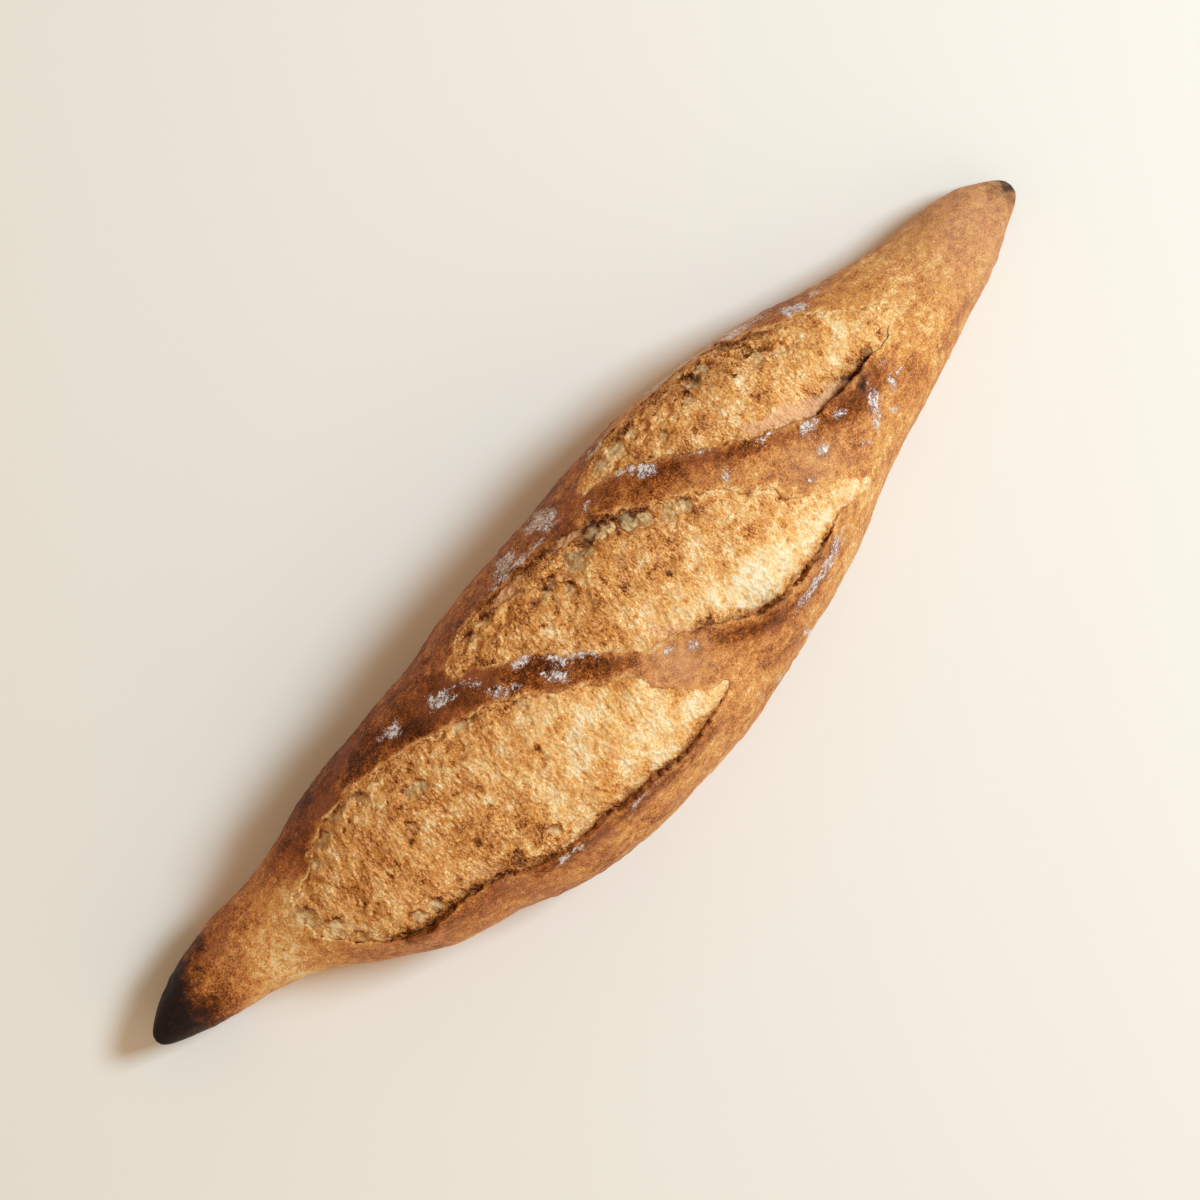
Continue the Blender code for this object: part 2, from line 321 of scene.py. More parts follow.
def to_rim(flat, line):
    """Distance from points on the unrolled top to a rim, negative inside, and the nearest rim row."""
    distance = np.full(len(flat), FAR)
    nearest = np.repeat(line[:1], len(flat), axis=0)
    low, high = line[:, :2].min(axis=0) - REACH, line[:, :2].max(axis=0) + REACH
    close = np.flatnonzero(((flat > low) & (flat < high)).all(axis=1))
    start, end = line, np.roll(line, -1, axis=0)
    run = (end - start)[:, :2]
    rise = np.where(run[:, 1] == 0, 1e-9, run[:, 1])
    for first in range(0, len(close), CHUNK):
        some = close[first:first + CHUNK]
        at = flat[some]
        away = at[:, None, :] - start[None, :, :2]
        share = np.clip((away * run).sum(-1) / (run**2).sum(-1), 0, 1)
        gap = ((away - share[..., None] * run) ** 2).sum(-1)
        best = gap.argmin(axis=1)
        rows = np.arange(len(some))
        part = share[rows, best][:, None]
        nearest[some] = start[best] * (1 - part) + end[best] * part
        spans = (start[:, 1] > at[:, None, 1]) != (end[:, 1] > at[:, None, 1])
        crossing = start[:, 0] + (at[:, None, 1] - start[:, 1]) / rise * run[:, 0]
        inside = (spans & (at[:, None, 0] < crossing)).sum(axis=1) % 2 == 1
        width = np.sqrt(gap[rows, best])
        distance[some] = np.where(inside, -width, width)
    return distance, nearest


print({name: len(line) for name, line in RIMS.items()}, "points on the rims")

# %% [markdown]
# ## Painting with a few words
# Large patches of colour follow the oven: dark where the heat hit, pale where dough was last to
# come out. They are kept as numbers on the mesh's points. A handful of places each state a tone,
# and every point takes a weighted mean of those near it, as a painter blends wet patches.

# %% Tools for tones and patches
def blend_tones(x, y, tones, reach):
    """Weighted mean of the tones (along, sideways, value) round each point."""
    weight, total = 1e-9, 0.0
    for tone_x, tone_y, value in tones:
        near = np.exp(-((x - tone_x) ** 2 + (y - tone_y) ** 2) / (2 * reach**2))
        weight, total = weight + near, total + near * value
    return total / weight


def patch(x, y, middle, size, turn=0.0):
    """A soft oval patch: its middle, its two half sizes and its turn in degrees."""
    cos, sin = math.cos(math.radians(turn)), math.sin(math.radians(turn))
    dx, dy = x - middle[0], y - middle[1]
    return np.exp(-((dx * cos + dy * sin) / size[0]) ** 2 - ((dy * cos - dx * sin) / size[1]) ** 2)


def patches(x, y, rows):
    """The strongest of several patches: (along, sideways, half length, half width, turn, strength)."""
    total = np.zeros(len(x))
    for px, py, length, width, turn, strength in rows:
        total = np.maximum(total, strength * patch(x, y, (px, py), (length, width), turn))
    return total


def to_path(x, y, path):
    """Distance to a line of points, + on the left of the way it runs."""
    best, signed = np.full(len(x), FAR), np.full(len(x), FAR)
    for (x0, y0), (x1, y1) in zip(path[:-1], path[1:]):
        length2 = (x1 - x0) ** 2 + (y1 - y0) ** 2
        share = np.clip(((x - x0) * (x1 - x0) + (y - y0) * (y1 - y0)) / length2, 0, 1)
        gap = np.hypot(x - x0 - share * (x1 - x0), y - y0 - share * (y1 - y0))
        left = (x1 - x0) * (y - y0) - (y1 - y0) * (x - x0) > 0
        signed = np.where(gap < best, np.where(left, gap, -gap), signed)
        best = np.minimum(best, gap)
    return signed


def stroke(x, y, path, width):
    """A soft stroke of the brush along a path of points."""
    return soft(to_path(x, y, path), width)


# %% [markdown]
# ## From arrays to meshes
# Grids of a hundred thousand points are slow to build face by face, so the arrays are handed to
# Blender in one go. Each field becomes a named attribute that the materials read.

# %% Make a mesh object from arrays
def make_object(name, points, faces, fields, material):
    """A smooth-shaded object: points in millimetres, faces as arrays of corners, fields by name."""
    mesh = bpy.data.meshes.new(name)
    sizes = np.concatenate([np.full(len(rows), rows.shape[1]) for rows in faces])
    corners = np.concatenate([rows.ravel() for rows in faces])
    mesh.vertices.add(len(points))
    mesh.vertices.foreach_set("co", (points * MM).astype(np.float32).ravel())
    mesh.loops.add(len(corners))
    mesh.loops.foreach_set("vertex_index", corners.astype(np.int32))
    mesh.polygons.add(len(sizes))
    mesh.polygons.foreach_set("loop_start", np.concatenate([[0], np.cumsum(sizes)[:-1]]).astype(np.int32))
    mesh.update(calc_edges=True)
    mesh.validate()
    mesh.shade_smooth()
    for field, values in fields.items():
        layer = mesh.attributes.new(field, "FLOAT", "POINT")
        layer.data.foreach_set("value", np.asarray(values, dtype=np.float32))
    mesh.materials.append(material)
    piece = bpy.data.objects.new(name, mesh)
    bpy.context.scene.collection.objects.link(piece)
    print(name, "has", sum(len(rows) * (rows.shape[1] - 2) for rows in faces), "triangles")
    return piece


# %% [markdown]
# ## Materials
# Baked crust is dried starch and browned sugars: a dense, slightly satin skin. Torn crumb is a
# foam of the same stuff, so it is matt. Both are plain non-metals. Colours are written as sRGB
# hex values, as a colour picker gives them, and one function turns them to linear light.

# %% Colours and a node helper
def linear(hex_colour):
    """Linear RGBA of an sRGB hex value."""
    parts = [int(hex_colour[k:k + 2], 16) / 255 for k in (1, 3, 5)]
    return (*(p / 12.92 if p <= 0.04045 else ((p + 0.055) / 1.055) ** 2.4 for p in parts), 1.0)


def add_node(tree, kind, inputs=None, **settings):
    """A node with its settings; an input takes a value or another node's output."""
    node = tree.nodes.new(kind)
    for name, value in settings.items():
        setattr(node, name, value)
    for name, value in (inputs or {}).items():
        if isinstance(value, bpy.types.NodeSocket):
            tree.links.new(value, node.inputs[name])
        else:
            node.inputs[name].default_value = value
    return node


def new_material(name, **values):
    """An empty Principled material: its tree, its shader and its Object coordinates."""
    material = bpy.data.materials.new(name)
    material.use_nodes = True
    tree = material.node_tree
    shader = tree.nodes["Principled BSDF"]
    for socket, value in values.items():
        shader.inputs[socket.replace("_", " ")].default_value = value
    place = add_node(tree, "ShaderNodeTexCoord").outputs["Object"]
    return material, tree, shader, place


def grain(tree, place, size_mm, detail=3.0, roughness=0.55):
    """Blender's noise, 0 to 1, with grains of a real size."""
    scale = 1 / (size_mm * MM)
    inputs = {"Vector": place, "Scale": scale, "Detail": detail, "Roughness": roughness}
    return add_node(tree, "ShaderNodeTexNoise", inputs).outputs["Fac"]


def scaled(tree, value, factor, offset):
    """value * factor + offset."""
    inputs = {0: value, 1: factor, 2: offset}
    return add_node(tree, "ShaderNodeMath", inputs, operation="MULTIPLY_ADD").outputs[0]


def sum_of(tree, *terms):
    """The first term plus factor * (source - 0.5) for each (source, factor) after it."""
    total = terms[0]
    for source, factor in terms[1:]:
        centred = add_node(tree, "ShaderNodeMath", {0: source, 1: -0.5}, operation="ADD").outputs[0]
        total = scaled(tree, centred, factor, total)
    return total


def field_of(tree, name):
    """A number kept on the mesh's points."""
    return add_node(tree, "ShaderNodeAttribute", attribute_name=name).outputs["Fac"]


def palette(tree, value, stops):
    """Colours along a line: (place, hex)."""
    node = add_node(tree, "ShaderNodeValToRGB", {"Fac": value})
    bar = node.color_ramp
    while len(bar.elements) < len(stops):
        bar.elements.new(0.5)
    for element, (place, colour) in zip(bar.elements, stops):
        element.position = place
        element.color = linear(colour)
    return node.outputs["Color"]


def mix_colour(tree, share, first, second):
    """The first colour where the share is 0, the second where it is 1."""
    node = add_node(tree, "ShaderNodeMix", data_type="RGBA")
    for socket, value in (("Factor_Float", share), ("A_Color", first), ("B_Color", second)):
        target = next(s for s in node.inputs if s.identifier == socket)
        if isinstance(value, bpy.types.NodeSocket):
            tree.links.new(value, target)
        else:
            target.default_value = value
    return next(s for s in node.outputs if s.identifier == "Result_Color")


def between(tree, value, start, end):
    """A smooth 0 to 1 as the value goes from start to end."""
    inputs = {"Value": value, "From Min": start, "From Max": end}
    return add_node(tree, "ShaderNodeMapRange", inputs, interpolation_type="SMOOTHSTEP").outputs["Result"]


def times(tree, first, second):
    return add_node(tree, "ShaderNodeMath", {0: first, 1: second}, operation="MULTIPLY").outputs[0]


def off_half(tree, value):
    """How far the value is from a half: 0 along thin winding lines of a noise."""
    shifted = add_node(tree, "ShaderNodeMath", {0: value, 1: 0.5}, operation="SUBTRACT").outputs[0]
    return add_node(tree, "ShaderNodeMath", {0: shifted}, operation="ABSOLUTE").outputs[0]


def add_bump(tree, shader, height, distance_mm, strength=1.0):
    """Relief too fine for the mesh."""
    inputs = {"Height": height, "Distance": distance_mm * MM, "Strength": strength}
    tree.links.new(add_node(tree, "ShaderNodeBump", inputs).outputs["Normal"], shader.inputs["Normal"])


# %% [markdown]
# ### Crust
# One palette runs from pale gold through chestnut to nearly black, because that is the road that every bit of
# crust takes in the oven. The bake field says how far each point got, and it also carries painted shade: darker
# on the side away from the light, in the pockets and in the creases along the ears. Noise moves it back and
# forth: patches of a few millimetres, then a fine mottling. Tiny dried starch veins stay paler. Char, which
# also holds a painted shadow under one ear, and flour lie over that.

# %% Baked crust
CRUST_PALETTE = (
    (0.0, "#fbdca4"), (0.08, "#f3bf6e"), (0.18, "#eaa958"), (0.3, "#de9552"), (0.45, "#ca7d3e"),
    (0.6, "#a65c26"), (0.75, "#783808"), (0.88, "#5a2808"), (1.0, "#3a1808"),
)
CHAR_AND_SHADOW_COLOUR = "#281d1b"
FLOUR_COLOUR = "#fff4ee"
VEIN_COLOUR = "#dca265"
FLECK_COLOUR = "#e6b98a"
GOLD_COLOUR = "#e8a850"
RUDDY_COLOUR = "#a8613c"
PINK_COLOUR = "#d3a07a"
DARK_FLECK = "#a4622c"
BAKE_SHIFT = 0.045


def crust_material():
    material, tree, shader, place = new_material("baked_crust", Roughness=0.5, Specular_IOR_Level=0.07)
    coarse = grain(tree, place, 9.0, 4.0)
    middling = grain(tree, place, 2.2, 4.0)
    fine = grain(tree, place, 0.5, 4.0, 0.7)
    specks = between(tree, grain(tree, place, 0.9, 3.0, 0.7), 0.46, 0.36)
    mottling = (coarse, 0.85), (middling, 1.0), (fine, 1.65), (specks, 0.15)
    # The bake field carries both the bake and painted shade; noise mottles it.
    baked_and_shaded = scaled(tree, sum_of(tree, field_of(tree, "bake_and_shade"), *mottling), 1.0, BAKE_SHIFT)
    colour = palette(tree, baked_and_shaded, CRUST_PALETTE)
    pink_patches = between(tree, sum_of(tree, coarse, (fine, 0.8)), -0.25, 0.2)
    colour = mix_colour(tree, times(tree, field_of(tree, "pink"), pink_patches), colour, linear(PINK_COLOUR))
    ruddy = between(tree, grain(tree, place, 14.0, 3.0), 0.45, 0.7)
    ruddy = times(tree, ruddy, between(tree, baked_and_shaded, 0.15, 0.5))
    colour = mix_colour(tree, times(tree, ruddy, 0.6), colour, linear(RUDDY_COLOUR))
    winding = between(tree, off_half(tree, grain(tree, place, 1.6, 2.0)), 0.025, 0.0)
    veins = times(tree, winding, between(tree, middling, 0.42, 0.62))
    light_part = between(tree, field_of(tree, "bake_and_shade"), 1.0, 0.35)
    vein_share = times(tree, veins, sum_of(tree, light_part, (middling, 1.0)))
    colour = mix_colour(tree, times(tree, vein_share, 0.6), colour, linear(VEIN_COLOUR))
    golden = between(tree, grain(tree, place, 3.4, 4.0, 0.65), 0.56, 0.68)
    colour = mix_colour(tree, times(tree, times(tree, golden, light_part), 0.5), colour, linear(GOLD_COLOUR))
    # Char, and the painted shadow under one ear, turn the crust near black.
    charred_and_shadowed = sum_of(tree, field_of(tree, "char_and_shadow"), (coarse, 0.5), (middling, 0.4))
    char_and_shadow_share = between(tree, charred_and_shadowed, 0.25, 0.8)
    colour = mix_colour(tree, char_and_shadow_share, colour, linear(CHAR_AND_SHADOW_COLOUR))
    freckle = between(tree, grain(tree, place, 0.55, 3.0, 0.65), 0.55, 0.61)
    unburnt_unshaded = scaled(tree, char_and_shadow_share, -0.4, 0.48)
    fleck_colour = mix_colour(tree, between(tree, field_of(tree, "bake_and_shade"), 0.4, 0.65), linear(FLECK_COLOUR),
                              linear(DARK_FLECK))
    colour = mix_colour(tree, times(tree, freckle, unburnt_unshaded), colour, fleck_colour)
    dusted = sum_of(tree, field_of(tree, "dust"), (grain(tree, place, 1.5, 6.0, 0.75), 3.2), (fine, 1.0))
    broken_up = between(tree, grain(tree, place, 1.0, 5.0, 0.8), 0.44, 0.53)
    flour = times(tree, between(tree, dusted, 0.62, 0.78), between(tree, field_of(tree, "dust"), 0.02, 0.3))
    flour = times(tree, flour, broken_up)
    colour = mix_colour(tree, times(tree, flour, 0.95), colour, linear(FLOUR_COLOUR))
    tree.links.new(colour, shader.inputs["Base Color"])
    rough = add_node(tree, "ShaderNodeMapRange", {"Value": flour, "To Min": 0.46, "To Max": 0.95})
    tree.links.new(rough.outputs["Result"], shader.inputs["Roughness"])
    relief = sum_of(tree, middling, (fine, 0.9), (veins, 0.15), (flour, 0.5))
    add_bump(tree, shader, relief, 0.42, 0.85)
    return material


# %% [markdown]
# ### Torn crumb
# The crumb that swelled out is pale where it came last and toasted where it stood up into the
# heat. Its palette is yellower than the crust's, as it has less sugar at the surface. Where a
# bubble burst, a thin film of starch is left, which looks greyish and a little glassy.

# %% Toasted crumb
CRUMB_PALETTE = (
    (0.0, "#fcebc6"), (0.15, "#f8d28c"), (0.3, "#f0b66c"), (0.45, "#e29e55"), (0.6, "#cc8440"),
    (0.75, "#ac6426"), (0.9, "#7d400f"), (1.0, "#4a2006"),
)
FILM_LIGHT = "#f3dcaa"
FILM_DARK = "#bda06c"
ASHEN_COLOUR = "#e0ae82"
AMBER_COLOUR = "#dc933c"
SKIN_LIGHT = "#f0bd8c"
SKIN_DARK = "#cf8f5a"
STRAND_STRETCH = 0.5


def crumb_material():
    material, tree, shader, place = new_material("toasted_crumb", Roughness=0.8, Specular_IOR_Level=0.25)
    stretch = {0: place, 1: (1.0, STRAND_STRETCH, 1.0)}
    pulled = add_node(tree, "ShaderNodeVectorMath", stretch, operation="MULTIPLY").outputs["Vector"]
    coarse = grain(tree, place, 6.0, 4.0, 0.6)
    middling = grain(tree, pulled, 1.3, 4.0, 0.65)
    fine = grain(tree, pulled, 0.42, 2.0, 0.6)
    # The toast field also carries painted shade by the lips, in pits and burst cups, and a painted highlight on
    # raised strands.
    baked_and_shaded = field_of(tree, "toast_and_shading")
    crinkle = between(tree, off_half(tree, grain(tree, pulled, 0.9, 2.0)), 0.07, 0.0)
    speckle = sum_of(tree, 0.05, (coarse, 1.5), (middling, 0.9), (fine, 1.3), (crinkle, 0.3))
    toast_and_shading = scaled(tree, speckle, scaled(tree, baked_and_shaded, 1.5, 0.3), baked_and_shaded)
    colour = palette(tree, toast_and_shading, CRUMB_PALETTE)
    amber = between(tree, grain(tree, place, 3.6, 3.0, 0.6), 0.48, 0.66)
    amber = times(tree, amber, between(tree, baked_and_shaded, 0.12, 0.4))
    colour = mix_colour(tree, times(tree, amber, 0.4), colour, linear(AMBER_COLOUR))
    ashen = between(tree, grain(tree, place, 2.4, 3.0, 0.6), 0.45, 0.65)
    colour = mix_colour(tree, times(tree, ashen, 0.18), colour, linear(ASHEN_COLOUR))
    film = sum_of(tree, field_of(tree, "film"), (middling, 0.9))
    glassy = mix_colour(tree, between(tree, middling, 0.38, 0.62), linear(FILM_LIGHT), linear(FILM_DARK))
    colour = mix_colour(tree, times(tree, between(tree, film, 0.25, 0.8), 0.72), colour, glassy)
    skin_shade = between(tree, sum_of(tree, middling, (fine, 1.0), (crinkle, 0.2)), 0.35, 0.75)
    skin_tint = mix_colour(tree, skin_shade, linear(SKIN_LIGHT), linear(SKIN_DARK))
    covered = sum_of(tree, field_of(tree, "skin"), (middling, 0.7))
    colour = mix_colour(tree, times(tree, between(tree, covered, 0.3, 0.6), 0.9), colour, skin_tint)
    tree.links.new(colour, shader.inputs["Base Color"])
    relief = sum_of(tree, middling, (fine, 0.8), (crinkle, -0.15))
    add_bump(tree, shader, relief, 0.36, 0.75)
    return material


CRUST = crust_material()
CRUMB = crumb_material()
print("materials:", CRUST.name, CRUMB.name)

# %% [markdown]
# ## The crust
# The crust is one closed loft. Over the top, its points lie on a fine even grid. The grid points
# next to a rim are moved onto it, so that the edge is crisp although the cells are larger than
# the raggedness. Outside a rim the lip lifts and leans over the cut; inside, the surface drops
# into a pocket that the crumb will hide. A Boolean would cut cleaner pockets, but it would slice
# the thin lip into slivers.

# %% Grid of the crust
RINGS = 440
CROSSING = 180
CORNER = 14
UNDER = 12
TIP_CROWDING = 0.3
LIP_WIDTH = 4.5
LEAN = 0.3
LEAN_WIDTH = 2.0
UNDERCUT = 0.6
POCKET = 6.5
POCKET_WALL = 1.6
BEAD = 0.15
BEAD_WIDTH = 0.9
LIP_UPWARD = 1.6
TIP_FADE = 12.0


def stations_along():
    """Places of the rings, a little closer together towards the tips."""
    share = np.linspace(0, 1, RINGS + 2)[1:-1]
    even, crowded = 2 * share - 1, -np.cos(math.pi * share)
    return LENGTH / 2 * ((1 - TIP_CROWDING) * even + TIP_CROWDING * crowded)


def crossed(distance):
    """Grid points that are the nearer end of an edge that crosses the rim."""
    near = np.zeros(distance.shape, bool)
    for axis in (0, 1):
        first = np.moveaxis(distance, axis, 0)[:-1]
        second = np.moveaxis(distance, axis, 0)[1:]
        crosses = first * second < 0
        marked = np.moveaxis(near, axis, 0)
        marked[:-1] |= crosses & (np.abs(first) <= np.abs(second))
        marked[1:] |= crosses & (np.abs(second) < np.abs(first))
    return near


x_rings = stations_along()
turns = np.linspace(-math.pi / 2, math.pi / 2, CROSSING)
along = np.repeat(x_rings[:, None], CROSSING, axis=1)
girth = rounding(along) * turns
rim_distance = np.full(along.shape, FAR)
rim_lift = np.zeros(along.shape)
lip_height = np.zeros(along.shape)
lip_inside = np.zeros(along.shape)
pocket_height = np.zeros(along.shape)
lean = np.zeros((*along.shape, 2))
for line in RIMS.values():
    distance, nearest = to_rim(np.stack([along.ravel(), girth.ravel()], axis=1), line)
    distance, nearest = distance.reshape(along.shape), nearest.reshape(*along.shape, 5)
    on_rim = crossed(distance)
    along = np.where(on_rim, nearest[..., 0], along)
    girth = np.where(on_rim, nearest[..., 1], girth)
    distance = np.where(on_rim, 0, distance)
    lift = np.maximum(nearest[..., 2], 0)
    outside = distance >= 0
    lip = lift * soft(distance, LIP_WIDTH) + BEAD * soft(distance, BEAD_WIDTH)
    wall = ramp(-distance, 0, POCKET_WALL)
    lip_height = np.maximum(lip_height, np.where(outside, lip, 0))
    lip_inside = np.where(outside, lip_inside, (lift + BEAD) * (1 - wall))
    pocket_height = np.where(outside, pocket_height, -POCKET * wall)
    leaning = LEAN * lift * soft(distance, LEAN_WIDTH)
    undercut = -UNDERCUT * np.exp(np.minimum(distance, 0) / LEAN_WIDTH)
    reach = np.where(outside, leaning, undercut)
    lean += nearest[..., 3:] * reach[..., None] * (np.abs(distance) < REACH)[..., None]
    closer = np.abs(distance) < np.abs(rim_distance)
    rim_lift = np.where(closer, lift, rim_lift)
    rim_distance = np.where(closer, distance, rim_distance)
lip_height = np.where(rim_distance < 0, lip_inside, lip_height)
print("crust grid:", along.shape, "with", int((rim_distance == 0).sum()), "points on a rim")

# %% [markdown]
# Dough never dries evenly, so the whole skin gets slow dents, then wrinkles, then small blisters
# where gas came up under it. They are real relief in the mesh, and only the finest grain is left
# to the material's bump.

# %% Relief of the crust and its points
girth_room = rounding(along) * math.pi / 2
shift_along, shift_round = lean[..., 0], lean[..., 1]
edge_fade = np.clip((girth_room - np.abs(girth)) / (0.2 * girth_room + 1e-9), 0, 1)
along_final = np.clip(along + shift_along * edge_fade, -LENGTH / 2, LENGTH / 2)
girth_final = girth + shift_round * edge_fade
base_top = skin(along_final, girth_final)


def dents(points):
    """Slow dents that crust and crumb share, in millimetres."""
    return 0.7 * noise(points, 26.0, 40) + 0.3 * noise(points, 9.0, 41)


def unevenness(points):
    """Dents, wrinkles and blisters of the crust, in millimetres."""
    wrinkles = 0.12 * cloudy(points, 3.2, 42)
    gap, label = cells(points, 4.2, 43)
    blisters = 0.28 * soft(gap, 0.3) * (label > 0.6)
    return dents(points) + wrinkles + blisters


flat_points = base_top.reshape(-1, 3)
rough_top = unevenness(flat_points).reshape(along.shape)
tip_fade = np.clip((LENGTH / 2 - np.abs(along_final)) / TIP_FADE, 0, 1)
normal = outward(along_final, girth_final)
lip_way = normal + LIP_UPWARD * np.array([0.0, 0.0, 1.0])
lip_way /= np.linalg.norm(lip_way, axis=-1, keepdims=True)
skin_height = pocket_height * edge_fade + rough_top * tip_fade
top_points = base_top + normal * skin_height[..., None] + lip_way * (lip_height * edge_fade)[..., None]

corner_turn = np.linspace(0, math.pi / 2, CORNER + 2)[1:-1]
across = np.concatenate([
    BASE + (1 - BASE) * np.cos(corner_turn), np.linspace(BASE, -BASE, UNDER),
    -BASE - (1 - BASE) * np.sin(corner_turn),
])
down = np.concatenate([1 - np.sin(corner_turn), np.zeros(UNDER), 1 - np.cos(corner_turn)])
low_along = np.repeat(x_rings[:, None], len(across), axis=1)
low_points = np.stack([
    low_along,
    side(low_along) + half_width(low_along) * across,
    underside(low_along) + WAIST * thickness(low_along) * down,
], axis=-1)
low_rough = unevenness(low_points.reshape(-1, 3)).reshape(low_along.shape)
low_fade = down * np.clip((LENGTH / 2 - np.abs(low_along)) / TIP_FADE, 0, 1)
low_points[..., 1] += np.sign(across) * low_rough * low_fade
rings = np.concatenate([top_points, low_points], axis=1)
print("rings:", rings.shape)

# %% [markdown]
# ### Tones of the crust
# The oven's heat came hardest to the left end, which charred. The side away from the light is darker, partly a
# deeper bake and partly painted shade, and the pockets and the creases along the ears are painted darker as
# painted shade. The right end and the near side stayed golden. Flour from the proofing cloth is left in the
# folds and on the top, and none is left low on the sides. All of these are places on the loaf in millimetres,
# along and sideways.

# %% Tones, char and flour of the crust
# Tones on the far (+Y) side are darker: partly a deeper bake, partly painted shade on the side away from the
# light.
CRUST_TONES = (
    (-118, -17, 0.32), (-105, -24, 0.42), (-95, -29, 0.45), (-75, -37, 0.43), (-50, -46, 0.47),
    (-30, -49, 0.42), (-10, -50, 0.3), (10, -48, 0.33), (35, -43, 0.36), (60, -36, 0.26),
    (80, -27, 0.26), (100, -22, 0.32), (125, -12, 0.34), (-118, 12, 0.7), (-95, 14, 0.82),
    (-75, 16, 0.82), (-50, 17, 0.71), (-30, 23, 0.64), (0, 26, 0.63), (25, 29, 0.6),
    (55, 29, 0.35), (75, 26.5, 0.4), (95, 20, 0.58), (110, 14, 0.42), (125, 12, 0.38),
    (140, 10, 0.42), (-58, 13, 0.78), (-45, 11, 0.76), (-25, 0, 0.7), (-8, -9, 0.7),
    (3, -20, 0.48), (8, -28, 0.38), (16, -31, 0.42), (25, -38, 0.45), (20, 21, 0.74),
    (34, 15, 0.66), (50, 3, 0.48), (62, -8, 0.42), (74, -14, 0.44), (90, -15, 0.4),
    (100, -12, 0.4), (-157, 0, 0.98), (-148, 0, 0.93), (-140, 0, 0.74), (-132, 0, 0.28),
    (-140, 8, 0.85), (-133, 9, 0.66),
    (-126, 6, 0.46), (-127, -6, 0.16), (-118, -6, -0.04), (-114, 5, 0.28), (-120, 10, 0.5), (-114, -10, 0.15),
    (112, -5, 0.2), (112, 8, 0.2), (125, 0, 0.3), (140, 2, 0.4), (150, 2, 0.41), (156, 0, 0.5),
)
FLOUR = (
    (-58, 14, 3.5, 1.6, 0, 0.7), (-42, 11, 4, 1.8, -20, 0.8), (-33, 8, 3, 1.6, -40, 0.5),
    (-29, 1, 4.5, 2, -35, 0.65), (-21, 4, 4.5, 2, -35, 0.7), (-16, -6, 4, 2, -40, 0.6),
    (-12, -3, 4.5, 2, -40, 0.8), (-6, -7, 5, 2.4, -35, 0.6), (9, 25, 5, 2.6, -20, 0.8),
    (-6, 24, 5, 2, 5, 0.6), (-4, 21.6, 12, 0.8, 0, 0.7), (20, 19.5, 2.5, 0.8, 0, 0.9),
    (38, 16, 3, 2.4, 60, 1.0), (34, 19, 3, 1, -30, 0.7), (50, 10, 5, 1.5, -30, 0.9),
    (65, 0, 3.5, 1.2, -20, 0.8), (76, -6.5, 3, 1.8, 20, 1.0), (50, -1, 3, 1.5, 40, 0.6),
    (74, -13, 1.5, 1.2, 0, 0.7), (66, -17, 1.3, 1, 0, 0.5), (92, -14, 4, 1.6, 65, 1.0),
    (95, -19, 2, 1.2, 0, 0.6), (88, -18, 2, 1.2, 40, 0.6), (99, -14, 2.5, 1.2, 60, 0.7),
    (103, -12, 1.5, 1, 0, 0.6), (100, -8, 2, 1, 0, 0.5), (83, -9.5, 2, 1.2, 0, 0.7),
    (83, -20, 1.5, 1, 0, 0.5), (71, -22, 2, 0.8, 0, 0.5), (14, -25, 1.6, 1.2, 0, 0.7),
    (8.5, -21.5, 1.4, 1, 0, 0.6), (17, -47, 1.6, 1, 0, 0.5), (24, -47.5, 1.6, 1, 0, 0.5),
    (38, -44.5, 2, 1, 70, 0.8), (33, 28.5, 5, 1.2, 0, 0.6), (76, 25.5, 18, 1.2, -12, 0.6),
    (60, 28.8, 9, 1.2, -6, 0.8),
    (95, 18, 3.5, 1.4, -30, 1.0), (102, 17.5, 3, 1.2, -20, 0.6), (50, -36, 12, 0.9, 12, 0.7),
    (-47, -41, 4.5, 0.8, 0, 0.9), (-23, -43.6, 4, 0.7, 0, 0.8), (60, -32.5, 5, 1.2, 15, 0.5),
)
# The first three strokes darken the crust along the outside of the ears: partly browner crust, partly painted
# shade in the crease. The next two are darker lines along lips, and the last a darker band.
CRUST_STROKES = (
    (((37, 15.5), (47, 8.5), (57, 2.5), (66, -2.5), (75, -6.8)), 2.2, 0.3),
    (((80, -8.5), (86, -10.3), (92, -10.5), (98, -8.8)), 3.0, 0.46),
    (((20, -29), (28, -34), (38, -37), (50, -35.8), (58, -33)), 2.4, 0.34),
    (((-56, -39), (-42, -42.3), (-25, -44), (-8, -45.5), (2, -44.5)), 1.6, 0.3),
    (((-92, -27.5), (-80, -32.5), (-66, -35)), 2.2, 0.2),
    (((-62, 14), (-40, 10), (-24, 2), (-12, -7), (-2, -15)), 4.5, 0.12),
)
RIGHT_CHAR = ((159.5, 2.5, 4.0, 4.5, 0, 0.8), (157.0, 2.0, 6.5, 7.5, 0, 0.6))
# A dark patch at the right-hand ear: partly char on the ear, partly painted shadow under it.
LIP_CHAR_AND_SHADOW = ((93.0, -8.5, 5.0, 1.8, 10, 0.8),)
PINK_PLACES = ((8, -26, 9, 7, -30, 0.45), (60, 29, 14, 4, -8, 0.6), (70, -14, 9, 6, -30, 0.3))
BAKE_REACH = 7.0
FLOUR_GAIN = 1.7
FLOUR_FROM = (12.0, 26.0)


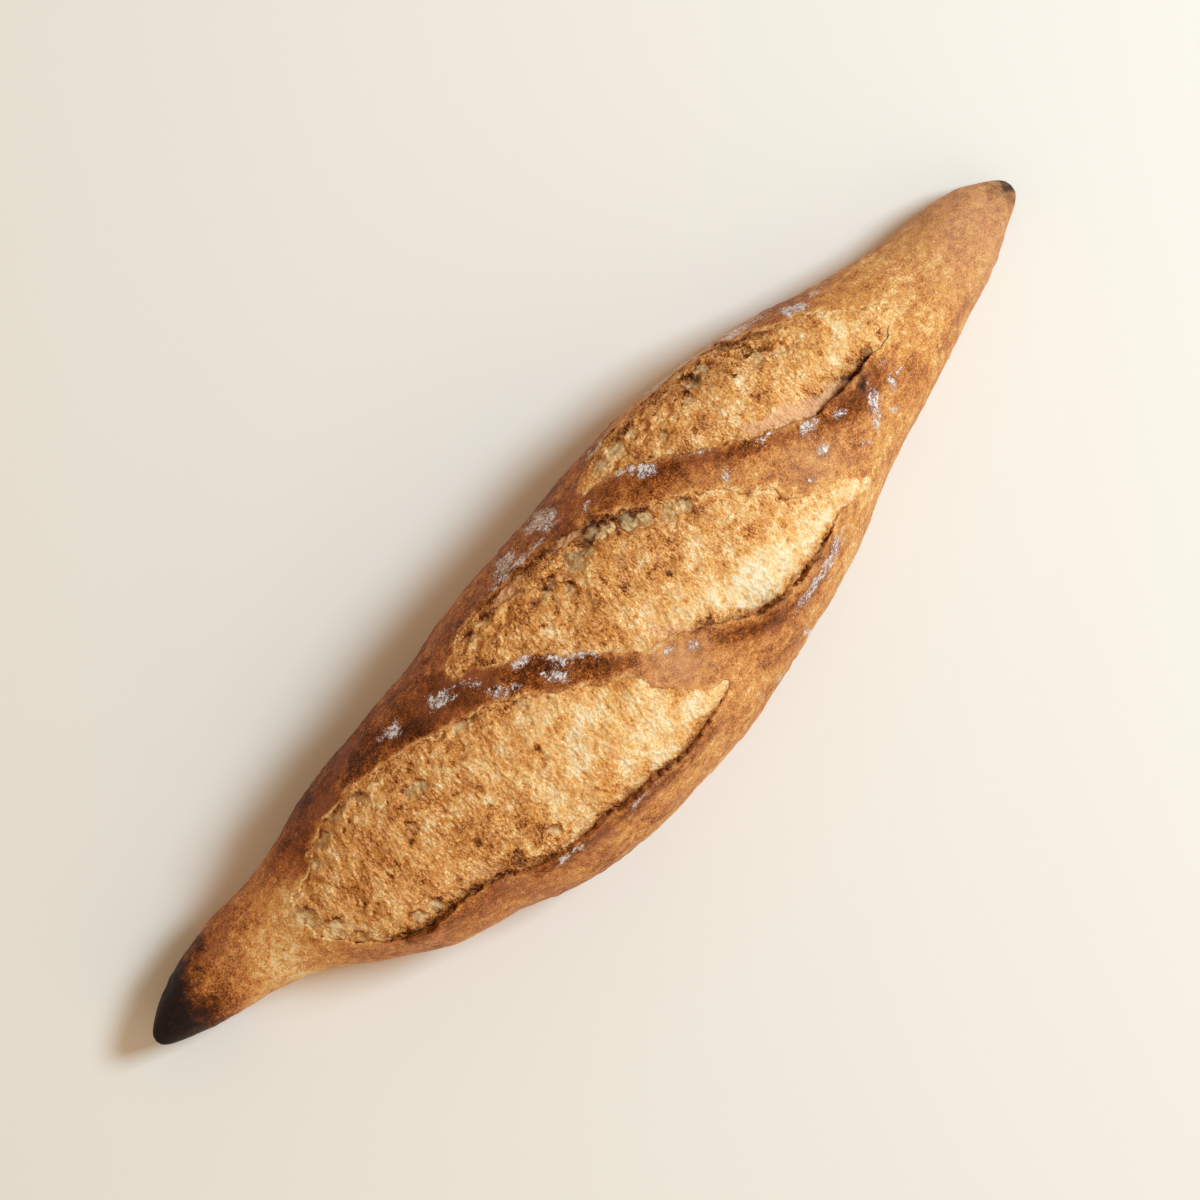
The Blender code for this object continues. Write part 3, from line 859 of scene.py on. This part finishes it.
def crust_fields(points, distance, lift):
    """The numbers that the crust's material reads."""
    x, y = points[:, 0], points[:, 1]
    bake_and_shade = blend_tones(x, y, CRUST_TONES, BAKE_REACH)
    outside = np.maximum(distance, 0)
    # Strokes of darker tone; those along the ears are partly painted shade.
    for path, width, change in CRUST_STROKES:
        bake_and_shade += change * stroke(x, y, path, width)
    uneven = ramp(noise(points, 6.0, 50), -0.7, 0.3)
    bake_and_shade += (0.27 - bake_and_shade) * 0.55 * ramp(lift, 1.6, 0.8) * soft(outside, 1.2) * uneven
    torn = ramp(lift, 1.6, 0.6) * soft(outside, 0.6) * ramp(noise(points, 5.0, 52), -0.5, 0.1)
    bake_and_shade += (-0.05 - bake_and_shade) * 0.85 * torn
    # Inside a rim the pocket's wall is painted dark brown: painted shade for the gaps beside the crumb.
    bake_and_shade = np.where(distance < -0.2, 0.66, bake_and_shade)
    x = x + 1.5 * cloudy(points, 4.0, 51, 2)
    y = y + 1.2 * cloudy(points, 3.0, 53, 2)
    left_char = ramp(-x + 0.65 * y, 121.0, 163.0)
    right_char = patches(x, y, RIGHT_CHAR)
    char_and_shadow = np.maximum(left_char, right_char)
    # The char field also takes the painted shadow under the right-hand ear.
    char_and_shadow = np.maximum(char_and_shadow, patches(x, y, LIP_CHAR_AND_SHADOW))
    lips = ramp(lift, 2.0, 3.2) * soft(distance, 0.6) * 0.5
    char_and_shadow = np.maximum(char_and_shadow, lips)
    dust = np.minimum(FLOUR_GAIN * patches(x, y, FLOUR), 1) * (distance > 0)
    dust *= ramp(points[:, 2], *FLOUR_FROM)
    pink = np.maximum(0.42 * ramp(x, 112.0, 145.0), patches(x, y, PINK_PLACES))
    return {"bake_and_shade": np.clip(bake_and_shade, -0.1, 1), "char_and_shadow": char_and_shadow, "dust": dust, "pink": pink}


ring_size = rings.shape[1]
everything = rings.reshape(-1, 3)
full_distance = np.full(rings.shape[:2], FAR)
full_distance[:, :CROSSING] = rim_distance
full_lift = np.zeros(rings.shape[:2])
full_lift[:, :CROSSING] = rim_lift
tips = np.array([[e * LENGTH / 2, side(np.array(e * LENGTH / 2)), underside(np.array(e * LENGTH / 2))]
                 for e in (-1, 1)])
fields = crust_fields(
    np.concatenate([everything, tips]),
    np.append(full_distance.ravel(), [FAR, FAR]),
    np.append(full_lift.ravel(), [0, 0]),
)

# %% [markdown]
# The rings are joined to quads, and each tip gets a fan. The whole loaf is then shifted so that
# it is centred in the frame's box, where the solid of the frame lies.

# %% Join the rings into the crust piece
def quads_of(rows, columns, closed):
    """Corners of the quads of a grid; a closed grid also joins its last column to its first."""
    index = np.arange(rows * columns).reshape(rows, columns)
    beside = np.roll(index, -1, axis=1)
    if not closed:
        index, beside = index[:, :-1], beside[:, :-1]
    return np.stack([index[:-1], index[1:], beside[1:], beside[:-1]], axis=-1).reshape(-1, 4)


quads = quads_of(RINGS, ring_size, True)
ring = np.arange(ring_size)
count = len(everything)
first_fan = np.stack([np.full(ring_size, count), ring, np.roll(ring, -1)], axis=1)
last_fan = np.stack([np.full(ring_size, count + 1), np.roll(ring, -1) + count - ring_size,
                     ring + count - ring_size], axis=1)
SHIFT = np.array([0.0, -(CAD_LOW[1] + CAD_HIGH[1]) / 2 / MM + 11.4, 0.0])
crust_points = np.concatenate([everything, tips]) + SHIFT
crust = make_object("crust", crust_points, [quads, np.concatenate([first_fan, last_fan])], fields, CRUST)

# %% [markdown]
# ## The crumb in the cuts
# Each lens of crumb is a fine grid clipped to its rim and a little beyond, so that its edge is
# tucked under the crust. Its top swells, sinks towards the lifted lip, and carries the torn
# texture: strands pulled across the cut, burst bubbles and small pits. Its flat bottom lies
# hidden inside the loaf.

# %% Sizes and looks of the crumb
CRUMB_CELL = 0.27
TUCK = 1.5
SINK = -0.25
SINK_PER_LIFT = 0.3
SINK_WIDTH = 2.4
SWELL = 2.0
SWELL_WIDTH = 9.0
SKIRT = 3.0

CRUMB_LOOKS = {
    "first": {
        "tones": (
            (-107, -5, 0.46), (-95, 0, 0.5), (-92, -15, 0.5), (-87, -25, 0.4), (-70, 5, 0.48),
            (-67, -10, 0.5), (-70, -24, 0.47), (-50, 2, 0.42), (-42, -12, 0.42), (-52, -30, 0.52),
            (-30, -20, 0.32), (-17, -24, 0.27), (-30, -34, 0.36), (-12, -38, 0.16), (-38, -38, 0.24),
            (-5, -30, 0.22), (4, -38, 0.18), (-18, -14, 0.32), (-5, -22, 0.28),
        ),
        "film": (
            (-107, -5, 4, 6, 20, 1.0), (-103.5, -13, 3, 5, 30, 0.9), (-89, 7, 6, 2.2, -5, 0.8),
            (-77, 8.5, 4, 1.8, 0, 0.7), (-96, -22, 5, 1.8, -35, 0.5),
            (-75, 6.5, 2.2, 2, 0, 0.9), (-63, -2, 3.5, 2.2, -10, 0.9), (-41, 2, 5, 1.6, -15, 0.8),
            (-28, -5, 3.5, 1.6, -35, 0.6), (-82, -26, 5, 2, -10, 0.8), (-43, -34, 4, 1.8, 0, 0.6),
            (-73, -8, 2.2, 3, 20, 0.4),
        ),
        "skin": ((-66, -29, 10, 1.5, -25, 0.5), (0, -28, 2.5, 6, -35, 0.5)),
    },
    "middle": {
        "tones": (
            (-28, 14, 0.58), (-18, 11, 0.54), (-8, 4, 0.5), (-5, 17, 0.62), (10, 17.5, 0.8),
            (20, 14, 0.72), (-2, 10, 0.42), (10, 8, 0.42), (5, -4, 0.52), (15, -2, 0.55),
            (25, 2, 0.5), (37, -12, 0.46), (28, -12, 0.44), (45, -3, 0.46), (34, -25, 0.0),
            (25, -20, 0.12), (44, -29, 0.14), (58, -25, 0.16), (55, -15, 0.38), (71, -26, 0.2),
            (10, -14, 0.35),
        ),
        "film": (
            (8, 11.5, 4, 2.4, 0, 1.0), (17, 12, 4, 2, -20, 1.0), (26, 8, 5, 2, -38, 1.0),
            (-4, 10, 3.5, 1.6, 20, 0.8), (2, 6, 2, 3, 10, 0.6), (36, 3.5, 4.5, 2, -38, 0.9),
            (-24, 17, 5, 1.5, 0, 0.5),
        ),
        "skin": (
            (-10, 18, 9, 1.6, 0, 0.8), (10, 17.5, 9, 2.2, -8, 0.7), (12, -17.5, 7, 2.5, -35, 0.6),
            (0, -4, 3, 6, 40, 0.35),
        ),
    },
    "last": {
        "tones": (
            (28, 24, 0.48), (37, 23, 0.5), (48, 18, 0.46), (62, 14, 0.42), (55, 26, 0.64),
            (68, 25.5, 0.66), (78, 22, 0.6), (58, 7, 0.52), (72, 8, 0.5), (88, 8, 0.44),
            (79, -2.5, 0.34), (70, 0, 0.38), (86, -5, 0.5), (93, -1, 0.1), (100, 2, 0.26),
            (108, 1, 0.42), (90, 15, 0.55), (85, 2, 0.38),
        ),
        "film": (
            (63, 22.5, 4, 1.8, -10, 0.9), (78, 16, 3, 2.5, 0, 0.9), (58, 20, 3, 1.6, 0, 0.6),
            (33, 24.5, 6, 1.6, 10, 0.9), (46, 18, 3, 2, -20, 0.5), (82, 13, 2, 2.5, 30, 0.6),
        ),
        "skin": (
            (76, -1.5, 11, 2.6, -20, 1.0), (66, 2.5, 8, 2, -35, 0.8), (86, -4.5, 6, 2, -12, 0.9),
            (70, 26, 12, 1.2, -14, 0.7),
        ),
    },
}
print("looks of the crumb:", {name: len(looks["tones"]) for name, looks in CRUMB_LOOKS.items()}, "tones")

# %% [markdown]
# ### Ledges and burst bubbles
# Where the dough tore late, a ragged ledge stands over a hollow, and gas bubbles burst in it.
# Each leaves a shallow cup, deepest on its far (+Y) side, with painted shade on that far wall and a thin grey
# film inside; cups without film are painted darker inside, also painted shade.
# The large ones are listed one by one, because they are what the eye knows this loaf by. Noise bends their
# outlines, and the small ones come from noise alone.

# %% Ledges and burst bubbles
LEDGES = {
    "first": (
        ((-111, -3), (-106, -1), (-99, 1), (-96, 5), (-88, 6), (-76, 8.5), (-62, 5.5), (-48, 3),
         (-34, -3), (-24, -10)), 0.5, 0.9,
    ),
    "middle": (
        ((-33, 14), (-22, 16), (-10, 15), (4, 15), (14, 14.5), (22, 11), (32, 5.5), (42, -1),
         (48, -7)), 0.6, 1.7,
    ),
    "last": (
        ((25, 23.5), (36, 25), (50, 25), (60, 24.5), (70, 23.5), (78, 20), (85, 16), (92, 12)),
        0.5, 1.5,
    ),
}
LEDGE_WIDTH = 1.1
LEDGE_FADE = 8.0
BUBBLES = {
    # along, sideways, radius, depth, share of starch film
    "first": (
        (-75, 6.3, 2.4, 1.6, 0.5), (-83, 8.2, 2.8, 0.8, 0.8), (-90, 6.5, 2.8, 0.9, 0.8),
        (-96, 3.5, 2.2, 0.6, 0.8), (-103.5, -12, 3.2, 0.8, 0.8), (-107, -5, 3.0, 0.7, 0.8),
        (-100, -19, 2.4, 0.6, 0.7), (-86, -25.5, 2.8, 1.0, 0.9), (-80.5, -26.5, 2.6, 1.2, 0.9),
        (-64.5, -1.2, 2.4, 0.9, 1.0), (-61, -1.8, 2.0, 0.8, 0.9), (-44, 2.6, 2.6, 0.8, 0.9),
        (-39.5, 1.6, 2.0, 0.7, 0.9), (-70, -7.5, 2.0, 0.7, 0.5), (-73, -10, 1.0, 1.0, 0),
        (-28, -5, 2.2, 0.6, 0.7), (-45, -34, 2.4, 0.8, 0.7), (-61, -22, 1.4, 1.0, 0),
        (-33, -16, 1.0, 0.8, 0), (-51, -13, 1.2, 0.5, 0.3), (-57, -32, 2.4, 1.6, 0),
    ),
    "middle": (
        (-3.6, 10.3, 2.4, 1.2, 0.7), (-0.4, 11.2, 1.8, 1.1, 0.6), (1.5, 6.8, 2.4, 1.1, 0.8),
        (7, 10.6, 3.6, 1.4, 1.0), (12, 11, 2.9, 1.5, 1.0), (16.6, 11.4, 2.6, 1.5, 0.8),
        (20, 11.2, 2.4, 1.5, 0.9), (24.3, 8.2, 2.9, 1.4, 1.0), (28, 6.3, 2.5, 1.3, 1.0),
        (32.5, 2.4, 2.8, 0.9, 0.8), (37.5, 1.2, 2.6, 0.9, 0.8), (40.4, 1, 0.9, 1.2, 0),
        (44.5, -4, 0.6, 0.8, 0), (6.5, 19, 1.6, 0.9, 0), (17.5, 15.5, 1.1, 0.9, 0),
        (-26, 15.5, 2.4, 0.8, 0.6), (-20, 16.5, 2.2, 0.7, 0.6), (12, -3, 1.3, 0.6, 0),
        (9, 2, 0.9, 0.9, 0), (22, -8, 1.0, 0.5, 0),
    ),
    "last": (
        (61.5, 22, 2.8, 1.4, 0.9), (65.8, 22.8, 2.3, 1.1, 0.9), (77.5, 18.2, 1.9, 2.6, 0.2),
        (81, 15.6, 2.0, 1.4, 0.7), (57.5, 19.8, 2.0, 0.8, 0.8), (29.5, 24.2, 2.8, 0.7, 0.9),
        (35.5, 24.4, 2.8, 0.8, 0.9), (41, 24.2, 2.2, 0.6, 0.7), (46, 17.8, 2.2, 0.8, 0.6),
        (84, 12.5, 1.8, 0.9, 0.6), (70, 16, 1.1, 0.8, 0), (53, 13, 1.2, 0.6, 0),
        (92.5, -7.4, 2.6, 1.8, 0), (96, -6.2, 1.6, 1.2, 0), (105.5, -3, 1.2, 1.2, 0),
    ),
}
# The way to each cup's far wall, which is deepest and gets painted shade.
WALL_WAY = (0.45, 0.89)
HOLLOW_OFFSET = 2.2
HOLLOW_WIDTH = 1.7


def ledge(x, y, path):
    """Distance to the ledge's line, + on its +Y side, and a fade towards the line's two ends."""
    start, end = path[0][0], path[-1][0]
    return to_path(x, y, path), ramp(x, start, start + LEDGE_FADE) * ramp(-x, -end, LEDGE_FADE - end)


def burst(x, y, rows):
    """Depth of the burst bubbles, the starch film left in them, and the painted shade on their far wall and
    inside cups without film.
    """
    depth, film, cup_shade = np.zeros(len(x)), np.zeros(len(x)), np.zeros(len(x))
    for bubble_x, bubble_y, radius, deep, clear in rows:
        off_x, off_y = (x - bubble_x) / radius, (y - bubble_y) / radius
        away = np.hypot(off_x, off_y)
        uphill = 0.5 + 0.5 * (off_x * WALL_WAY[0] + off_y * WALL_WAY[1])
        depth = np.maximum(depth, deep * ramp(-away, -1.0, -0.78) * np.clip(0.1 + 0.9 * uphill, 0, 1))
        film = np.maximum(film, clear * ramp(-away, -1.1, -0.35) * ramp(uphill, 0.0, 0.6))
        wall = soft(away - 0.95, 0.17) * ramp(uphill, 0.6, 0.85)
        cup_shade = np.maximum(cup_shade, np.maximum(wall, (1 - clear) ** 3 * ramp(-away, -1.0, -0.5)))
    return depth, film, cup_shade


print("burst bubbles:", {name: len(rows) for name, rows in BUBBLES.items()})

# %% [markdown]
# ### One lens of crumb for each cut
# The crumb swells over the smooth loaf and tucks under the rim, so that no gap shows. It is cut from an even
# grid, closed by a skirt and a flat face below. The same heights that shape its strands also paint it: raised
# strands lighter, a painted highlight, and pits darker, a painted shade.

# %% Make the crumb of one cut
def solid_mask(mask):
    """The mask with cells added until no two meet at a corner only."""
    while True:
        a, b, c, d = mask[:-1, :-1], mask[1:, :-1], mask[:-1, 1:], mask[1:, 1:]
        one, other = a & d & ~b & ~c, b & c & ~a & ~d
        if not (one | other).any():
            return mask
        mask[1:, :-1] |= one
        mask[:-1, :-1] |= other


def crumb_height(points, distance, lift, film, smooth_skin):
    """How far the crumb stands off the smooth loaf, how strongly its strands stand up, and its pits; the last
    two paint a highlight on strands and shade in pits.
    """
    depth = np.maximum(-distance, 0)
    form = SWELL * (1 - np.exp(-depth / SWELL_WIDTH))
    form -= (SINK + SINK_PER_LIFT * lift) * np.exp(-depth / SINK_WIDTH)
    form -= 0.8 * np.maximum(distance, 0)
    pulled = points * np.array([1.0, 0.55, 1.0])
    folds = np.clip(1 - 2 * np.abs(noise(pulled, 3.6, 71)), 0, 1) ** 3
    lumps = 0.5 * noise(points, 9.0, 60) + 0.35 * noise(points, 3.5, 61) + 0.35 * folds
    strands = 1 - 2 * np.abs(noise(pulled, 1.2, 62))
    grit = noise(points, 0.65, 63)
    gap, label = cells(points, 2.4, 64)
    pits = soft(gap, 0.28) * (label > 0.72)
    bubble, size = cells(points * np.array([1.0, 1.2, 1.0]), 2.6, 66)
    bubbles = film * ramp(-bubble, -0.5, -0.28) * (size > 0.35)
    rough = 0.2 * strands + 0.15 * grit
    calm = 1 - np.maximum(0.75 * film, 0.7 * smooth_skin)
    height = form + lumps + rough * calm - 0.7 * pits * calm - 0.2 * film - 0.5 * bubbles
    return height, strands * 0.5 + grit * 0.3 + folds * 0.6, np.maximum(pits, 0.8 * bubbles)


def make_crumb(name):
    line = RIMS[name]
    low, high = line[:, :2].min(axis=0) - TUCK - 1, line[:, :2].max(axis=0) + TUCK + 1
    grid_x, grid_g = np.meshgrid(
        np.arange(low[0], high[0], CRUMB_CELL), np.arange(low[1], high[1], CRUMB_CELL), indexing="ij"
    )
    x, g = grid_x.ravel(), grid_g.ravel()
    distance, nearest = to_rim(np.stack([x, g], axis=1), line)
    base = skin(x, g)
    inside = (distance < TUCK).reshape(grid_x.shape)
    cell = solid_mask(inside[:-1, :-1] & inside[1:, :-1] & inside[:-1, 1:] & inside[1:, 1:])
    looks = CRUMB_LOOKS[name]
    wavy_x = base[:, 0] + 1.6 * cloudy(base, 5.0, 65)
    wavy_y = base[:, 1] + 1.6 * cloudy(base, 5.0, 67)
    path, ledge_height, hollow_depth = LEDGES[name]
    off_ledge, along_ledge = ledge(wavy_x, wavy_y, path)
    broken = along_ledge * ramp(noise(base, 9.0, 69), -0.5, 0.25)
    raised = ledge_height * soft(off_ledge, LEDGE_WIDTH) * broken
    hollow = soft(off_ledge + HOLLOW_OFFSET, HOLLOW_WIDTH) * broken * ramp(noise(base, 3.2, 70), -0.35, 0.25)
    near_x = base[:, 0] + 0.8 * cloudy(base, 2.8, 73)
    near_y = base[:, 1] + 0.8 * cloudy(base, 2.8, 75)
    bubble_depth, bubble_film, cup_shade = burst(near_x, near_y, BUBBLES[name])
    film = np.maximum(patches(wavy_x, wavy_y, looks["film"]) * 0.75, np.maximum(0.3 * hollow, bubble_film))
    smooth_skin = patches(wavy_x, wavy_y, looks["skin"])
    lift = np.maximum(nearest[:, 2], 0)
    height, raised_highlight, pits = crumb_height(base, distance, lift, film, smooth_skin)
    height += raised - hollow_depth * hollow + dents(base) - bubble_depth
    top = base + outward(x, g) * height[:, None]
    toast_and_shading = blend_tones(base[:, 0], base[:, 1], looks["tones"], 4.5)
    toast_and_shading += 0.22 * soft(off_ledge - 1.0, 1.5) * broken - 0.15 * soft(off_ledge + 0.2, 0.7) * broken
    # Next to a lifted lip the crumb is darker: partly toasting, partly painted shade in the crease under the
    # lip.
    blotchy = ramp(noise(base, 3.0, 72), -0.7, 0.3)
    ragged = -distance - 1.2 + 0.9 * cloudy(base, 2.0, 74)
    ear_toast_and_shade = 0.45 * soft(distance, 6.0) * blotchy + 0.7 * soft(np.maximum(ragged, 0), 1.7)
    ear_toast_and_shade *= ramp(lift, 1.0, 2.2)
    rim_side = ramp(lift, 1.6, 0.8) * soft(np.maximum(-distance, 0), 2.6)
    rim_side *= ramp(noise(base, 5.0, 68), -0.6, 0.4)
    # Painted shade in the burst cups darkens the crumb.
    toast_and_shading += 0.4 * cup_shade
    golden = (np.maximum(0.44, toast_and_shading) - toast_and_shading) * 0.8 * rim_side
    # Raised strands are painted lighter, a painted highlight; pits are painted darker, a painted shade.
    toast_and_shading = toast_and_shading - 0.1 * raised_highlight + 0.66 * ear_toast_and_shade + golden + 0.3 * pits
    index = np.arange(grid_x.size).reshape(grid_x.shape)
    corners = np.stack([index[:-1, :-1], index[1:, :-1], index[1:, 1:], index[:-1, 1:]], axis=-1)[cell]
    used = np.unique(corners)
    renumber = np.full(grid_x.size, -1)
    renumber[used] = np.arange(len(used))
    corners = renumber[corners]
    edges = np.concatenate([corners[:, [k, (k + 1) % 4]] for k in range(4)])
    key = edges[:, 0] * len(used) + edges[:, 1]
    back = edges[:, 1] * len(used) + edges[:, 0]
    border = edges[~np.isin(key, back)]
    follow = dict(border)
    loop = [int(border[0, 0])]
    while follow[loop[-1]] != loop[0]:
        loop.append(int(follow[loop[-1]]))
    loop = np.array(loop)
    assert len(loop) == len(border), name + ": the crumb's edge isn't one loop"
    bottom = top[used][loop].copy()
    bottom[:, 2] = top[used][:, 2].min() - SKIRT
    points = np.concatenate([top[used], bottom]) + SHIFT
    low_loop = np.arange(len(loop)) + len(used)
    skirt = np.stack([np.roll(loop, -1), loop, low_loop, np.roll(low_loop, -1)], axis=1)
    floor_face = low_loop[::-1][None, :]
    fields = {"toast_and_shading": np.append(toast_and_shading[used], np.full(len(loop), 0.4)),
              "film": np.append(film[used], np.zeros(len(loop))),
              "skin": np.append(smooth_skin[used], np.zeros(len(loop)))}
    return make_object("crumb_" + name, points, [corners, skirt, floor_face], fields, CRUMB)


crumbs = [make_crumb(name) for name in CUTS]

# %% [markdown]
# ## Loose flour
# Flour on a loaf is thousands of grains, and the largest clumps stand up from the crust. A
# Geometry Nodes tree scatters low ones where the dust field is strong. Each is an icosphere of
# twenty faces, which is enough at a quarter of a millimetre.

# %% Scatter flour clumps with Geometry Nodes
GRAIN_RADIUS = 0.11
GRAINS_PER_MM2 = 3.0
FLOUR_SEED = 5
GRAIN_LIGHT = "#fcefe4"
GRAIN_DARK = "#e3cdc0"


def flour_material():
    material, tree, shader, place = new_material("wheat_flour", Roughness=0.95, IOR=1.45)
    tint = mix_colour(tree, grain(tree, place, 3.0), linear(GRAIN_LIGHT), linear(GRAIN_DARK))
    tree.links.new(tint, shader.inputs["Base Color"])
    return material


def flour_tree(material):
    """The scatter: grains on the faces, more where there is more dust."""
    tree = bpy.data.node_groups.new("flour_scatter", "GeometryNodeTree")
    tree.interface.new_socket("Geometry", in_out="INPUT", socket_type="NodeSocketGeometry")
    sizes = {"Grains per square metre": GRAINS_PER_MM2 / MM**2, "Grain radius": GRAIN_RADIUS * MM}
    for label, value in sizes.items():
        socket = tree.interface.new_socket(label, in_out="INPUT", socket_type="NodeSocketFloat")
        socket.default_value = value
    seed = tree.interface.new_socket("Seed", in_out="INPUT", socket_type="NodeSocketInt")
    seed.default_value = FLOUR_SEED
    tree.interface.new_socket("Geometry", in_out="OUTPUT", socket_type="NodeSocketGeometry")
    given = add_node(tree, "NodeGroupInput").outputs
    dust = add_node(tree, "GeometryNodeInputNamedAttribute", {"Name": "dust"}, data_type="FLOAT")
    strong = add_node(tree, "ShaderNodeMapRange",
                      {"Value": dust.outputs["Attribute"], "From Min": 0.25, "From Max": 1.0})
    density = times(tree, strong.outputs["Result"], given["Grains per square metre"])
    scatter = add_node(tree, "GeometryNodeDistributePointsOnFaces",
                       {"Mesh": given["Geometry"], "Density": density, "Seed": given["Seed"]})
    ball = add_node(tree, "GeometryNodeMeshIcoSphere", {"Radius": given["Grain radius"], "Subdivisions": 1})
    size = add_node(tree, "FunctionNodeRandomValue", {"Min": (0.5, 0.5, 0.4), "Max": (1.5, 1.5, 0.9)},
                    data_type="FLOAT_VECTOR")
    place = add_node(tree, "GeometryNodeInstanceOnPoints", {
        "Points": scatter.outputs["Points"], "Instance": ball.outputs["Mesh"],
        "Rotation": scatter.outputs["Rotation"], "Scale": size.outputs[0],
    })
    real = add_node(tree, "GeometryNodeRealizeInstances", {"Geometry": place.outputs["Instances"]})
    painted = add_node(tree, "GeometryNodeSetMaterial",
                       {"Geometry": real.outputs["Geometry"], "Material": material})
    add_node(tree, "NodeGroupOutput", {"Geometry": painted.outputs["Geometry"]})
    return tree


def make_flour():
    """Run the scatter on the crust and keep its grains as a plain mesh."""
    holder = bpy.data.objects.new("flour_holder", crust.data)
    bpy.context.scene.collection.objects.link(holder)
    modifier = holder.modifiers.new("flour", "NODES")
    modifier.node_group = flour_tree(flour_material())
    for socket in modifier.node_group.interface.items_tree:
        if socket.in_out == "INPUT" and socket.socket_type != "NodeSocketGeometry":
            modifier[socket.identifier] = socket.default_value
    bpy.context.view_layer.update()
    graph = bpy.context.evaluated_depsgraph_get()
    mesh = bpy.data.meshes.new_from_object(holder.evaluated_get(graph), depsgraph=graph)
    bpy.data.objects.remove(holder)
    piece = bpy.data.objects.new("flour", mesh)
    bpy.context.scene.collection.objects.link(piece)
    print("flour has", len(mesh.polygons), "triangles")
    return piece


flour = make_flour()

# %% [markdown]
# ## Riding on the frame
# The loaf has no joints, so every piece rides on the one body. The crust, the crumb and the
# flour together stand for the frame's solid.

# %% Tie the pieces to the frame
for piece in (crust, *crumbs, flour):
    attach(piece, "root")
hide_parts("loaf")
print("pieces:", [piece.name for piece in (crust, *crumbs, flour)])

# %% [markdown]
# ## Floor and light
# A plain pale floor, a large soft lamp low on the right, a faint wide one on the near side and a
# bright even room. The lamp is like daylight, cooler than the room's warm walls, which is why the
# shadow turns brown. Each lamp's power is worked out from its distance, so that a level surface
# receives what a colour needs to look as it is written: the room gives part and the lamps the rest.

# %% Floor, lamp and world
FLOOR_COLOUR = "#f3efe4"
FLOOR_HALF = 2.0
FLOOR_LEVEL = -0.2 * MM
LAMP_DISTANCE = 1.5
LAMP_SIZE = 0.46
LAMP_ELEVATION = math.radians(51)
LAMP_AZIMUTH = math.radians(-22)
ROOM_SHARE = 0.48
ROOM_COLOUR = (0.98, 0.69, 0.45)
LAMP_SHARE = 0.68
LAMP_COLOUR = (0.66, 0.85, 1.0)
FILL_SHARE = 0.08
FILL_COLOUR = (1.0, 0.85, 0.7)
FILL_DISTANCE = 1.6
FILL_SIZE = 1.3
FILL_ELEVATION = math.radians(35)
FILL_AZIMUTH = math.radians(-80)
SEEN_ROOM = (0.93, 0.91, 0.87, 1.0)

floor_mesh = bpy.data.meshes.new("floor")
floor_corners = [(a * FLOOR_HALF, b * FLOOR_HALF, FLOOR_LEVEL) for a, b in ((-1, -1), (1, -1), (1, 1), (-1, 1))]
floor_mesh.from_pydata(floor_corners, [], [(0, 1, 2, 3)])
floor = bpy.data.objects.new("floor", floor_mesh)
bpy.context.scene.collection.objects.link(floor)
floor_material = new_material("plain_floor", Roughness=0.9)[0]
floor_material.node_tree.nodes["Principled BSDF"].inputs["Base Color"].default_value = linear(FLOOR_COLOUR)
floor_mesh.materials.append(floor_material)


def add_lamp(name, share, colour, distance, size, elevation, azimuth):
    """A square lamp aimed at the loaf that gives a level floor this share of full light."""
    data = bpy.data.lights.new(name, "AREA")
    data.size = size
    data.energy = share * math.pi**2 * distance**2 / math.sin(elevation)
    data.color = colour
    lamp = bpy.data.objects.new(name, data)
    flat = distance * math.cos(elevation)
    lamp.location = (flat * math.cos(azimuth), flat * math.sin(azimuth), distance * math.sin(elevation))
    lamp.rotation_euler = (math.pi / 2 - elevation, 0, azimuth + math.pi / 2)
    bpy.context.scene.collection.objects.link(lamp)
    print(name, "of", round(data.energy, 1), "W")


add_lamp("soft_lamp", LAMP_SHARE, LAMP_COLOUR, LAMP_DISTANCE, LAMP_SIZE, LAMP_ELEVATION, LAMP_AZIMUTH)
add_lamp("fill_lamp", FILL_SHARE, FILL_COLOUR, FILL_DISTANCE, FILL_SIZE, FILL_ELEVATION, FILL_AZIMUTH)

world = bpy.data.worlds.new("bright_room")
world.use_nodes = True
room = world.node_tree
fill = tuple(ROOM_SHARE * part for part in ROOM_COLOUR) + (1.0,)
seen = add_node(room, "ShaderNodeLightPath").outputs["Is Camera Ray"]
room.links.new(mix_colour(room, seen, fill, SEEN_ROOM), room.nodes["Background"].inputs["Color"])
bpy.context.scene.world = world
bpy.context.scene.view_settings.view_transform = "Standard"
